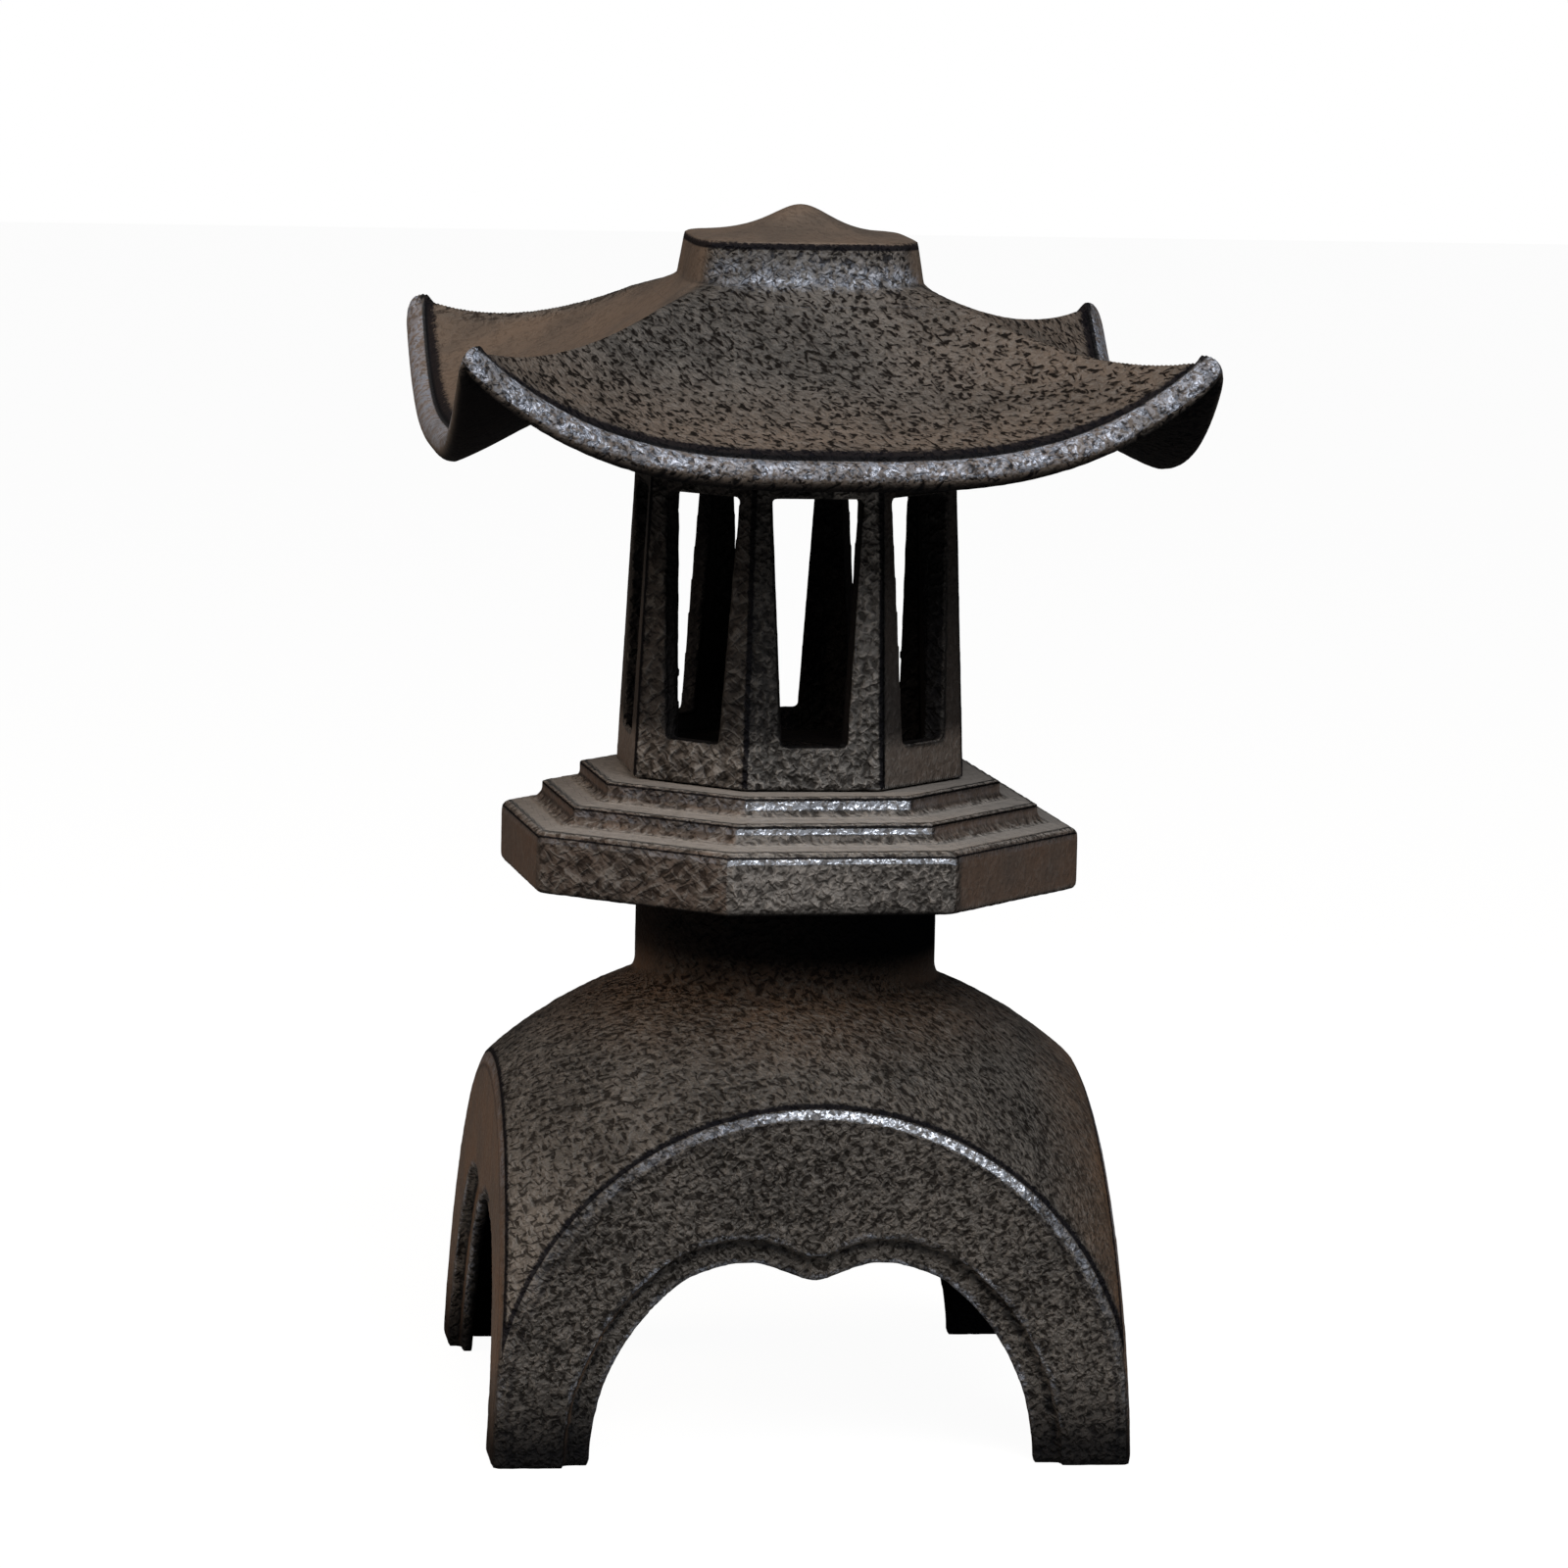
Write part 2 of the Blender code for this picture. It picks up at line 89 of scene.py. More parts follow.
def lamp(name, azimuth, height, distance, width, power, colour):
    """A soft square lamp that looks at the middle of the lantern."""
    a, h = radians(azimuth), radians(height)
    towards = Vector((sin(a) * cos(h), -cos(a) * cos(h), sin(h)))
    bpy.ops.object.light_add(type="AREA", location=EYE_TARGET + distance * towards)
    made = bpy.context.object
    made.name = name
    made.rotation_euler = towards.to_track_quat("Z", "Y").to_euler()
    made.data.size = width
    made.data.energy = power
    made.data.color = colour


lamp("key_lamp", 14, 42, 1.3, 0.75, 16, (1.0, 0.995, 0.98))
lamp("top_lamp", -25, 78, 1.2, 0.7, 5, (1.0, 0.98, 0.95))
lamp("left_lamp", -78, 28, 1.3, 0.5, 8, (1.0, 0.82, 0.66))

studio = bpy.data.worlds.new("studio")
bpy.context.scene.world = studio
studio.use_nodes = True
air = studio.node_tree
sky = air.nodes["Background"]
sky.inputs["Color"].default_value = SKY_GREY
sky.inputs["Strength"].default_value = 1.0
seen = air.nodes.new("ShaderNodeBackground")
seen.inputs["Color"].default_value = (1, 1, 1, 1)


def looked_at(net):
    """1 for rays that come straight from the eye, which see a white backdrop."""
    return net.nodes.new("ShaderNodeLightPath").outputs["Is Camera Ray"]


choose = air.nodes.new("ShaderNodeMixShader")
air.links.new(looked_at(air), choose.inputs[0])
air.links.new(sky.outputs[0], choose.inputs[1])
air.links.new(seen.outputs[0], choose.inputs[2])
air.links.new(choose.outputs[0], air.nodes["World Output"].inputs["Surface"])

bpy.ops.mesh.primitive_plane_add(size=BOARD_SIZE, location=(0, 0, 0))
board = bpy.context.object
board.name = "board"
paint = bpy.data.materials.new("pale_board")
paint.use_nodes = True
net = paint.node_tree
matt = net.nodes["Principled BSDF"]
matt.inputs["Base Color"].default_value = BOARD_GREY
matt.inputs["Roughness"].default_value = BOARD_ROUGHNESS
glow = net.nodes.new("ShaderNodeEmission")
glow.inputs["Strength"].default_value = BOARD_GLOW
share = net.nodes.new("ShaderNodeMath")
share.operation = "MULTIPLY"
share.inputs[1].default_value = GLOW_SHARE
mix = net.nodes.new("ShaderNodeMixShader")
net.links.new(looked_at(net), share.inputs[0])
net.links.new(share.outputs[0], mix.inputs[0])
net.links.new(matt.outputs[0], mix.inputs[1])
net.links.new(glow.outputs[0], mix.inputs[2])
net.links.new(mix.outputs[0], net.nodes["Material Output"].inputs["Surface"])
board.data.materials.append(paint)


# Base: one hollow iron casting, a dome cut by four faces that lean in a little, on four feet.
# Each face has an arch with a point between two lobes and a sunk rim round it. It was cast in
# sand, so its skin is wrinkled and pitted, and the arrises are rubbed down to bright iron, with
# a painted sheen that is stronger higher up and to the right.

WALL = 0.0050
FOOT_HALF = 0.0651
FACE_LEAN = radians(3.0)
DOME_RADIUS = 0.0915
DOME_CENTRE = 0.0044
NECK_RADIUS = 0.0312
NECK_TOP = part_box("base")[1].z
NECK_FILLET = 0.0045
BOLT_HOLE = 0.0035
ARCH_RADIUS = 0.0450
ARCH_CENTRE = 0.0008
LOBE_CROWN = 0.0409
LOBE_CUSP = 0.0372
LOBE_REACH = 0.0135
RIM_WIDTH = 0.0054
RIM_DEPTH = 0.0024
ARRIS_WIDTH = 0.0022
TRIM_SPREAD = tan(radians(67.5))
TRIM_BACK = 0.160
TRIM_FRONT = 0.004
TRIM_LENGTH = 0.164
TRIM_MIDDLE = 0.078
TRIM_TURN = 0.01
TRIM_TURN_STEP = 0.003
BELOW_GROUND = 0.010
SHOULDER_SPREAD = 1.25
CUSP_POWER = 1.5
ARC_STEPS = 32
LOBE_STEPS = 12
FILLET_STEPS = 8


def named(name):
    """The object that an operator has just made, under its name."""
    made = bpy.context.object
    made.name = name
    made.data.name = name
    return made


def set_down(piece):
    """Moves a piece's place and turn into its mesh."""
    bpy.ops.object.select_all(action="DESELECT")
    piece.select_set(True)
    bpy.context.view_layer.objects.active = piece
    bpy.ops.object.transform_apply(location=True, rotation=True, scale=True)


def finish_with(piece, kind, **settings):
    """Adds one modifier and applies it."""
    bpy.ops.object.select_all(action="DESELECT")
    bpy.context.view_layer.objects.active = piece
    piece.select_set(True)
    step = piece.modifiers.new(kind.lower(), kind)
    for key, value in settings.items():
        setattr(step, key, value)
    bpy.ops.object.modifier_apply(modifier=step.name)


def cut(piece, cutter, how="DIFFERENCE"):
    """Cuts, trims or joins a piece with another solid, which is used up."""
    finish_with(piece, "BOOLEAN", object=cutter, operation=how, solver="EXACT")
    bpy.data.objects.remove(cutter)


def rod(name, radius, low, high, sides=96):
    """An upright cylinder on the lantern's axis, between two heights."""
    bpy.ops.mesh.primitive_cylinder_add(
        vertices=sides, radius=radius, depth=high - low, location=(0, 0, (low + high) / 2)
    )
    made = named(name)
    set_down(made)
    return made


def turned(name, profile, sides, turn=0.0):
    """Spins a profile of (radius, height) points into a solid, with flats where it has few sides."""
    bpy.ops.mesh.primitive_plane_add()
    made = named(name)
    made.data.clear_geometry()
    count = len(profile)
    closed = profile[0][0] > 0 and profile[-1][0] > 0
    edges = [(i, (i + 1) % count) for i in range(count if closed else count - 1)]
    made.data.from_pydata([(r, 0, z) for r, z in profile], edges, [])
    made.rotation_euler.z = turn
    set_down(made)
    bpy.ops.object.mode_set(mode="EDIT")
    bpy.ops.mesh.select_all(action="SELECT")
    bpy.ops.mesh.spin(steps=sides, angle=2 * pi, center=(0, 0, 0), axis=(0, 0, 1), use_auto_merge=False)
    bpy.ops.mesh.select_all(action="SELECT")
    bpy.ops.mesh.remove_doubles(threshold=0.000005)
    bpy.ops.mesh.normals_make_consistent(inside=False)
    bpy.ops.object.mode_set(mode="OBJECT")
    return made


def face_block(name, inset):
    """The four leaning faces as a tapering block, drawn in by inset."""
    height = DOME_CENTRE + DOME_RADIUS
    foot = FOOT_HALF - inset / cos(FACE_LEAN)
    head = foot - height * tan(FACE_LEAN)
    bpy.ops.mesh.primitive_cone_add(
        vertices=4, radius1=foot * sqrt(2), radius2=head * sqrt(2), depth=height,
        location=(0, 0, height / 2), rotation=(0, 0, pi / 4),
    )
    made = named(name)
    set_down(made)
    return made


def dome(name, inset):
    """The ball that the dome is the upper part of, drawn in by inset."""
    bpy.ops.mesh.primitive_uv_sphere_add(
        segments=144, ring_count=72, radius=DOME_RADIUS - inset, location=(0, 0, DOME_CENTRE)
    )
    made = named(name)
    set_down(made)
    return made


def arch_outline(grow):
    """The opening's edge from its right foot over both lobes to its left foot, widened by grow."""
    radius, crown, cusp = ARCH_RADIUS + grow, LOBE_CROWN + grow, LOBE_CUSP + grow
    shoulder = sqrt(radius ** 2 - (crown - ARCH_CENTRE) ** 2)
    join = max(shoulder, LOBE_REACH) * SHOULDER_SPREAD
    right_half = []
    start = atan(-ARCH_CENTRE / radius)
    end = atan(sqrt(radius ** 2 - join ** 2) / join)
    for i in range(ARC_STEPS + 1):
        angle = start + (end - start) * i / ARC_STEPS
        right_half.append((radius * cos(angle), ARCH_CENTRE + radius * sin(angle)))
    level = right_half[-1][1]
    for i in range(1, LOBE_STEPS + 1):
        along = i / LOBE_STEPS
        right_half.append((
            join + (LOBE_REACH - join) * along, level + (crown - level) * sin(along * pi / 2)
        ))
    for i in range(1, LOBE_STEPS + 1):
        along = 1 - i / LOBE_STEPS
        rise = (crown - cusp) * sin(along * pi / 2) ** CUSP_POWER
        right_half.append((LOBE_REACH * along, cusp + rise))
    return right_half + [(-x, z) for x, z in reversed(right_half[:-1])]


def arch_cutter(name, grow, near, far):
    """The arch's outline drawn out along -Y from near to far, open to below the ground."""
    edge = arch_outline(grow)
    edge = [(edge[0][0], -BELOW_GROUND)] + edge + [(edge[-1][0], -BELOW_GROUND)]
    bpy.ops.mesh.primitive_plane_add()
    made = named(name)
    made.data.clear_geometry()
    made.data.from_pydata([(x, -near, z) for x, z in edge], [], [list(range(len(edge)))])
    bpy.ops.object.mode_set(mode="EDIT")
    bpy.ops.mesh.select_all(action="SELECT")
    bpy.ops.mesh.extrude_region_move(TRANSFORM_OT_translate={"value": (0, near - far, 0)})
    bpy.ops.mesh.select_all(action="SELECT")
    bpy.ops.mesh.normals_make_consistent(inside=False)
    bpy.ops.object.mode_set(mode="OBJECT")
    return made


def neighbours_mean(mesh, values, rounds):
    """Averages the values at each vertex with those of its neighbours, some rounds over."""
    ends = np.empty(len(mesh.edges) * 2, dtype=np.int64)
    mesh.edges.foreach_get("vertices", ends)
    a, b = ends[0::2], ends[1::2]
    total = len(mesh.vertices)
    count = np.maximum(np.bincount(ends, minlength=total), 1).astype(float)
    columns = list(np.reshape(values, (total, -1)).T)
    for _ in range(rounds):
        for k, column in enumerate(columns):
            around = np.bincount(a, column[b], total) + np.bincount(b, column[a], total)
            columns[k] = 0.4 * column + 0.6 * around / count
    return np.stack(columns, axis=1).reshape(np.shape(values))


def places(mesh):
    """Every vertex's place, one row each."""
    at = np.empty(len(mesh.vertices) * 3)
    mesh.vertices.foreach_get("co", at)
    return at.reshape(-1, 3)


def towards_face(at):
    """How far each place is from the lantern's axis, towards the nearest of its four faces."""
    return np.maximum(np.abs(at[:, 0]), np.abs(at[:, 1]))


def facings(mesh):
    """Every vertex's outward direction, one row each."""
    way = np.empty(len(mesh.vertices) * 3)
    mesh.vertex_normals.foreach_get("vector", way)
    return way.reshape(-1, 3)


def mark(mesh, **marks):
    """Keeps numbers per vertex on the mesh, for the material to read by name."""
    for name, values in marks.items():
        made = mesh.attributes.new(name, "FLOAT", "POINT")
        every = np.broadcast_to(values, len(mesh.vertices)).astype(np.float32)
        made.data.foreach_set("value", every)


def edge_marks(mesh, reach, rounds):
    """How far each vertex stands out on an edge (wear) or lies in a corner, where shade is painted."""
    at = places(mesh)
    stands = np.einsum("ij,ij->i", at - neighbours_mean(mesh, at, rounds), facings(mesh)) / reach
    return np.clip(stands, 0, 1), np.clip(-stands, 0, 1)


def sand_skin(piece, name, size, depth, calm):
    """Raises the sand's grain on a casting's skin, less where the skin is calm (0 to 1)."""
    sand = bpy.data.textures.new(name, "CLOUDS")
    sand.noise_scale = size
    sand.noise_depth = 1
    sand.noise_basis = "IMPROVED_PERLIN"
    grainy = piece.vertex_groups.new(name="grainy")
    steps = 8
    level = np.rint((1 - 0.8 * calm) * steps)
    for step in range(steps + 1):
        grainy.add(np.nonzero(level == step)[0].tolist(), step / steps, "REPLACE")
    finish_with(
        piece, "DISPLACE", texture=sand, texture_coords="LOCAL", strength=depth, mid_level=0.5,
        vertex_group="grainy",
    )
    piece.vertex_groups.clear()


def cast(piece, voxel):
    """Turns the cut solid into one even skin, with its edges a little rounded."""
    finish_with(piece, "REMESH", mode="VOXEL", voxel_size=voxel)
    finish_with(piece, "SMOOTH", factor=0.5, iterations=2)


def keep_in_box(piece, node):
    """Holds a piece's skin inside the box of its solid in the frame."""
    low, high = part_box(node)
    at = np.clip(places(piece.data), list(low), list(high))
    piece.data.vertices.foreach_set("co", at.ravel())
    piece.data.update()


def calm_skin(mesh):
    """1 where the skin looks up or sideways and is smooth, and where the light that falls on it is
    painted by leaving out its pits and browning it, 0 where it is pitted.
    """
    way = neighbours_mean(mesh, facings(mesh), 2)
    sideways = np.maximum((way[:, 0] - 0.50) / 0.25, (-way[:, 0] - 0.80) / 0.15)
    return np.clip(np.maximum((way[:, 2] - 0.93) / 0.05, sideways), 0, 1)


def smooth_all(piece):
    """Shades a piece smooth, so that its fine faces don't show."""
    bpy.ops.object.select_all(action="DESELECT")
    bpy.context.view_layer.objects.active = piece
    piece.select_set(True)
    bpy.ops.object.shade_smooth()


base = face_block("base_casting", 0)
cut(base, dome("dome_outside", 0), "INTERSECT")
depth_of_face = (FOOT_HALF - DOME_CENTRE * tan(FACE_LEAN)) * cos(FACE_LEAN)
face_circle = sqrt(DOME_RADIUS ** 2 - depth_of_face ** 2)
near = face_circle - ARRIS_WIDTH * 0.75

# A wide cone over each face trims its round arris, halfway between the face and the dome.
# Each is turned by a little of its own, so that no two cones share a facet.
for k in range(4):
    bpy.ops.mesh.primitive_cone_add(
        vertices=156, radius1=near + TRIM_SPREAD * TRIM_BACK, radius2=near - TRIM_SPREAD * TRIM_FRONT,
        depth=TRIM_LENGTH,
    )
    ring = named("arris_trim")
    lean = Matrix.Rotation(k * pi / 2, 4, "Z") @ Matrix.Translation((0, 0, DOME_CENTRE))
    lean = lean @ Matrix.Rotation(pi / 2 - FACE_LEAN, 4, "X")
    lean = lean @ Matrix.Rotation(TRIM_TURN + TRIM_TURN_STEP * k, 4, "Z")
    ring.data.transform(lean @ Matrix.Translation((0, 0, depth_of_face - TRIM_MIDDLE)))
    cut(base, ring, "INTERSECT")

flare = NECK_RADIUS + NECK_FILLET
meet = DOME_CENTRE + sqrt(DOME_RADIUS ** 2 - flare ** 2)
profile = [(0, NECK_TOP), (NECK_RADIUS, NECK_TOP)]
for i in range(FILLET_STEPS + 1):
    angle = pi + pi / 2 * i / FILLET_STEPS
    profile.append((flare + NECK_FILLET * cos(angle), meet + NECK_FILLET * (1 + sin(angle))))
profile += [(flare, meet - WALL / 2), (0, meet - WALL / 2)]
cut(base, turned("neck", profile, 120), "UNION")

hollow = face_block("base_hollow", WALL)
hollow.data.transform(Matrix.Translation((0, 0, -WALL * tan(FACE_LEAN))))
cut(hollow, dome("dome_inside", WALL), "INTERSECT")
cut(base, hollow)
cut(base, rod("neck_bore", NECK_RADIUS - WALL, DOME_CENTRE, NECK_TOP - WALL))
cut(base, rod("neck_hole", BOLT_HOLE, NECK_TOP - 2 * WALL, NECK_TOP + WALL, 32))
for k in range(2):
    through = arch_cutter("arch", 0, -2 * FOOT_HALF, 2 * FOOT_HALF)
    through.data.transform(Matrix.Rotation(k * pi / 2, 4, "Z"))
    cut(base, through)
for k in range(4):
    rim = arch_cutter("rim", RIM_WIDTH, FOOT_HALF - RIM_DEPTH, 2 * FOOT_HALF)
    lean = Matrix.Rotation(k * pi / 2, 4, "Z") @ Matrix.Translation((0, -FOOT_HALF, 0))
    lean = lean @ Matrix.Rotation(-FACE_LEAN, 4, "X") @ Matrix.Translation((0, FOOT_HALF, 0))
    rim.data.transform(lean)
    cut(base, rim)

cast(base, 0.00086)


def inside_of_base(at):
    """1 for points on the inner skin of the base, 0 for the outer."""
    from_centre = np.sqrt(at[:, 0] ** 2 + at[:, 1] ** 2 + (at[:, 2] - DOME_CENTRE) ** 2)
    wide = towards_face(at) + at[:, 2] * tan(FACE_LEAN)
    inner = (from_centre < DOME_RADIUS - WALL * 0.5) & (wide < FOOT_HALF - WALL * 0.75)
    round_neck = np.hypot(at[:, 0], at[:, 1]) > NECK_RADIUS - WALL * 0.5
    neck = (at[:, 2] > meet) & round_neck
    return (inner & ~neck & (at[:, 2] < NECK_TOP - 0.001)).astype(float)


def thin(piece, hidden, kept):
    """Leaves fewer and larger faces where the skin is hidden."""
    deep = neighbours_mean(piece.data, hidden, 4) > 0.999
    chosen = piece.vertex_groups.new(name="hidden")
    chosen.add(np.nonzero(deep)[0].tolist(), 1.0, "REPLACE")
    finish_with(
        piece, "DECIMATE", decimate_type="COLLAPSE", ratio=1 - deep.mean() * (1 - kept),
        vertex_group="hidden", vertex_group_factor=1.0, use_collapse_triangulate=True,
    )
    piece.vertex_groups.clear()


thin(base, inside_of_base(places(base.data)), 0.2)

# The numbers that each vertex carries for the iron's material, all 0 to 1 but for lip:
# wear on raised edges, painted shade in corners, calm where the skin is smooth and where painted
# light leaves out its pits and browns it, dust and painted light where it is brown, painted light
# where it is lighter, a painted sheen where a lip is rubbed bright, painted shade where it is black.

PIT_BLACK = (0.006, 0.005, 0.0045)
SEAM_BLACK = (0.005, 0.005, 0.007)
CREASE_BLACK = (0.006, 0.006, 0.007)
SOOT_BLACK = (0.0034, 0.0036, 0.0046)
DULL_SILVER = (0.38, 0.42, 0.51)
BRIGHT_SILVER = (0.50, 0.54, 0.62)
PIT_DEPTH = 0.00030
RIDGE_HEIGHT = 0.00030
DENT_DEPTH = 0.0009
LUMP_HEIGHT = 0.0026
SPECK_HEIGHT = 0.00012
FAR_FROM_LIP = 9


def iron(name, ground, dusty, pits=0.9, wrinkles=0.5, underline=0.0, size=1.0, shift=(0, 0, 0)):
    """Dark iron with short dents and folds, worn bright on its edges, with a painted sheen on its lips,
    painted light on its ridges and painted shade in its dents, folds and corners.
    """
    made = bpy.data.materials.new(name)
    made.use_nodes = True
    net = made.node_tree
    shader = net.nodes["Principled BSDF"]

    def node(kind, **settings):
        new = net.nodes.new(kind)
        for key, value in settings.items():
            setattr(new, key, value)
        return new

    def feed(socket, value):
        if isinstance(value, bpy.types.NodeSocket):
            net.links.new(value, socket)
        else:
            socket.default_value = value

    def sum_of(a, b, how="ADD"):
        new = node("ShaderNodeMath", operation=how)
        feed(new.inputs[0], a)
        feed(new.inputs[1], b)
        return new.outputs[0]

    def times(a, b):
        return sum_of(a, b, "MULTIPLY")

    def off(a, b):
        """How far a is from b."""
        return sum_of(sum_of(a, b, "SUBTRACT"), 0, "ABSOLUTE")

    def fades(value, low, high, out_low=0.0, out_high=1.0):
        """Passes smoothly from out_low to out_high as the value goes from low to high."""
        new = node("ShaderNodeMapRange", interpolation_type="SMOOTHSTEP")
        feed(new.inputs["Value"], value)
        new.inputs["From Min"].default_value = low
        new.inputs["From Max"].default_value = high
        new.inputs["To Min"].default_value = out_low
        new.inputs["To Max"].default_value = out_high
        return new.outputs["Result"]

    def cloud(per_metre, detail=1.0, rough=0.5, warp=0.0):
        new = node("ShaderNodeTexNoise")
        feed(new.inputs["Vector"], where)
        new.inputs["Scale"].default_value = per_metre
        new.inputs["Detail"].default_value = detail
        new.inputs["Roughness"].default_value = rough
        new.inputs["Distortion"].default_value = warp
        return new.outputs["Fac"]

    def dents(wide, long, turn):
        """A cloud drawn out along one direction, whose low spots are short dents."""
        placed = node("ShaderNodeMapping", vector_type="TEXTURE")
        feed(placed.inputs["Vector"], where)
        placed.inputs["Rotation"].default_value = turn
        placed.inputs["Scale"].default_value = (wide, wide, long)
        new = node("ShaderNodeTexNoise")
        feed(new.inputs["Vector"], placed.outputs["Vector"])
        new.inputs["Scale"].default_value = 1.0
        new.inputs["Detail"].default_value = 0.6
        new.inputs["Distortion"].default_value = 0.7
        return new.outputs["Fac"]

    def blend(amount, first, second):
        new = node("ShaderNodeMix", data_type="RGBA")
        feed(new.inputs[0], amount)
        for socket, value in ((new.inputs[6], first), (new.inputs[7], second)):
            feed(socket, value if isinstance(value, bpy.types.NodeSocket) else (*value, 1.0))
        return new.outputs[2]

    def shade(colour, amount):
        return [c * amount for c in colour]

    def marked(attribute):
        return node("ShaderNodeAttribute", attribute_name=attribute).outputs["Fac"]

    coordinates = node("ShaderNodeTexCoord")
    placing = node("ShaderNodeMapping")
    feed(placing.inputs["Vector"], coordinates.outputs["Object"])
    placing.inputs["Location"].default_value = shift
    placing.inputs["Scale"].default_value = [1.1 / size] * 3
    where = placing.outputs["Vector"]

    calm = marked("calm")
    soot = marked("soot")
    dust = sum_of(calm, marked("dust"), "MAXIMUM")
    # Fewer pits and folds where the skin is smooth, and where painted light stands in for the light that
    # fills them
    rough_skin = sum_of(1.0, times(calm, 0.8), "SUBTRACT")
    first = dents(0.0011, 0.0028, (0.6, 0.9, 0.0))
    second = dents(0.0010, 0.0022, (-0.7, -0.8, 0.0))
    # The dents' low spots are painted dark and their high spots light, the shade and light of their
    # relief
    pit = times(sum_of(fades(first, 0.45, 0.30), fades(second, 0.44, 0.29), "MAXIMUM"), rough_skin)
    ridge = times(sum_of(fades(first, 0.54, 0.74), fades(second, 0.55, 0.75), "MAXIMUM"), rough_skin)
    lump = cloud(260, 1.0, 0.5, 0.2)
    fold = times(fades(lump, 0.52, 0.36), rough_skin)
    grain = cloud(560, 1.0, 0.5)
    speck = cloud(1500, 2.0, 0.6)
    streak = cloud(900, 1.0, 0.5, 0.8)
    mottle = cloud(38, 3.0, 0.62)

    # A rubbed lip with a painted sheen runs from -1 to 1 across, with a black line of painted shade above
    # it and, on some, one below
    uneven = sum_of(speck, 0.5, "SUBTRACT")
    ragged = sum_of(times(uneven, 0.8), times(sum_of(streak, 0.5, "SUBTRACT"), 0.6))
    across = marked("lip")
    lip = times(fades(sum_of(off(across, 0), ragged), 1.0, 0.75), marked("shine"))
    seam = times(fades(across, -0.90, -1.10), fades(sum_of(across, ragged), -2.1, -1.6))
    lower_seam = times(fades(across, 1.0, 1.3), fades(sum_of(across, ragged), 2.1, 1.6))
    seam = sum_of(seam, times(lower_seam, underline), "MAXIMUM")
    wear = fades(sum_of(marked("wear"), times(uneven, 0.9)), 0.35, 0.80)
    rubbed = sum_of(lip, times(wear, 0.6), "MAXIMUM")
    rubbed = times(rubbed, fades(streak, 0.40, 0.54, 0.14, 1.0))
    whole = fades(marked("shine"), 0.7, 0.95)
    rubbed = times(rubbed, sum_of(fades(lump, 0.40, 0.56, 0.35, 1.0), whole, "MAXIMUM"))
    rubbed = times(rubbed, sum_of(1.0, times(soot, 0.9), "SUBTRACT"))

    colour = blend(fades(mottle, 0.34, 0.64), shade(ground, 0.72), shade(ground, 1.5))
    # Brown from dust and from painted warm light, on upward and sideways skin and on all sides but the
    # front
    colour = blend(times(dust, fades(mottle, 0.34, 0.60, 0.5, 0.95)), colour, dusty)
    # Painted light: lighter where the light falls, on the lower left of the dome and on the treads
    colour = blend(marked("pale"), colour, shade(ground, 2.8))
    dark_grain = times(fades(grain, 0.60, 0.36), rough_skin)
    colour = blend(times(dark_grain, wrinkles * 0.5), colour, shade(ground, 0.4))
    # Painted shade in the folds and pits and painted light on the ridges
    colour = blend(times(fold, wrinkles * 0.35), colour, shade(ground, 0.25))
    colour = blend(times(ridge, wrinkles), colour, shade(ground, 2.2))
    colour = blend(times(pit, pits), colour, PIT_BLACK)
    # Bright iron where it is rubbed, with a painted sheen on the lips
    colour = blend(times(rubbed, 0.9), colour, blend(whole, DULL_SILVER, BRIGHT_SILVER))
    # Painted shade: black lines along the lips
    colour = blend(times(seam, 0.92), colour, SEAM_BLACK)
    # Painted shade: black in corners and along the roof's groove
    colour = blend(fades(marked("crease"), 0.15, 0.65), colour, CREASE_BLACK)
    # Painted shade: black inside, under things, low on the feet and on the shaded posts
    colour = blend(soot, colour, SOOT_BLACK)
    feed(shader.inputs["Base Color"], colour)
    feed(shader.inputs["Metallic"], fades(rubbed, 0.0, 1.0, 0.0, 0.7))
    gloss = fades(rubbed, 0.0, 1.0, 0.55, 0.38)
    gloss = sum_of(gloss, times(uneven, 0.25))
    feed(shader.inputs["Roughness"], sum_of(gloss, times(soot, 0.3)))
    dark = sum_of(sum_of(soot, seam, "MAXIMUM"), pit, "MAXIMUM")
    feed(shader.inputs["Specular IOR Level"], sum_of(0.30, times(dark, 0.29), "SUBTRACT"))

    height = sum_of(times(pit, -PIT_DEPTH * pits), times(ridge, RIDGE_HEIGHT * wrinkles))
    height = sum_of(height, times(times(sum_of(first, second), rough_skin), DENT_DEPTH * wrinkles))
    height = sum_of(height, times(times(lump, rough_skin), LUMP_HEIGHT * wrinkles))
    height = sum_of(height, times(times(speck, SPECK_HEIGHT), rough_skin))
    height = times(height, sum_of(1.0, times(times(lip, whole), 0.6), "SUBTRACT"))
    relief = node("ShaderNodeBump")
    relief.inputs["Strength"].default_value = 1.0
    relief.inputs["Distance"].default_value = 1.0
    feed(relief.inputs["Height"], height)
    feed(shader.inputs["Normal"], relief.outputs["Normal"])
    return made


def dress(piece, material):
    """Gives a piece one material and no other."""
    piece.data.materials.clear()
    piece.data.materials.append(material)


def arris_lip(at):
    """Across the worn arris between a face and the dome, which has a painted sheen, a painted line of
    shade on the dome side and a fainter one on the face side, from -1 on the dome to 1 on the face.
    """
    up = at[:, 2] - DOME_CENTRE
    outward = towards_face(at) * cos(FACE_LEAN) + up * sin(FACE_LEAN)
    from_centre = (at ** 2).sum(axis=1) - at[:, 2] ** 2 + up ** 2
    radius = np.sqrt(np.maximum(from_centre - outward ** 2, 0))
    over = (radius - face_circle) + (depth_of_face - outward)
    over = np.where(over > 0, over / sqrt(2), over)
    return -(over + ARRIS_WIDTH * 0.30) / (ARRIS_WIDTH * 0.60)


def ramp(values, start, end):
    """0 at the start and before it, 1 at the end and beyond it, even between."""
    return np.clip((values - start) / (end - start), 0, 1)
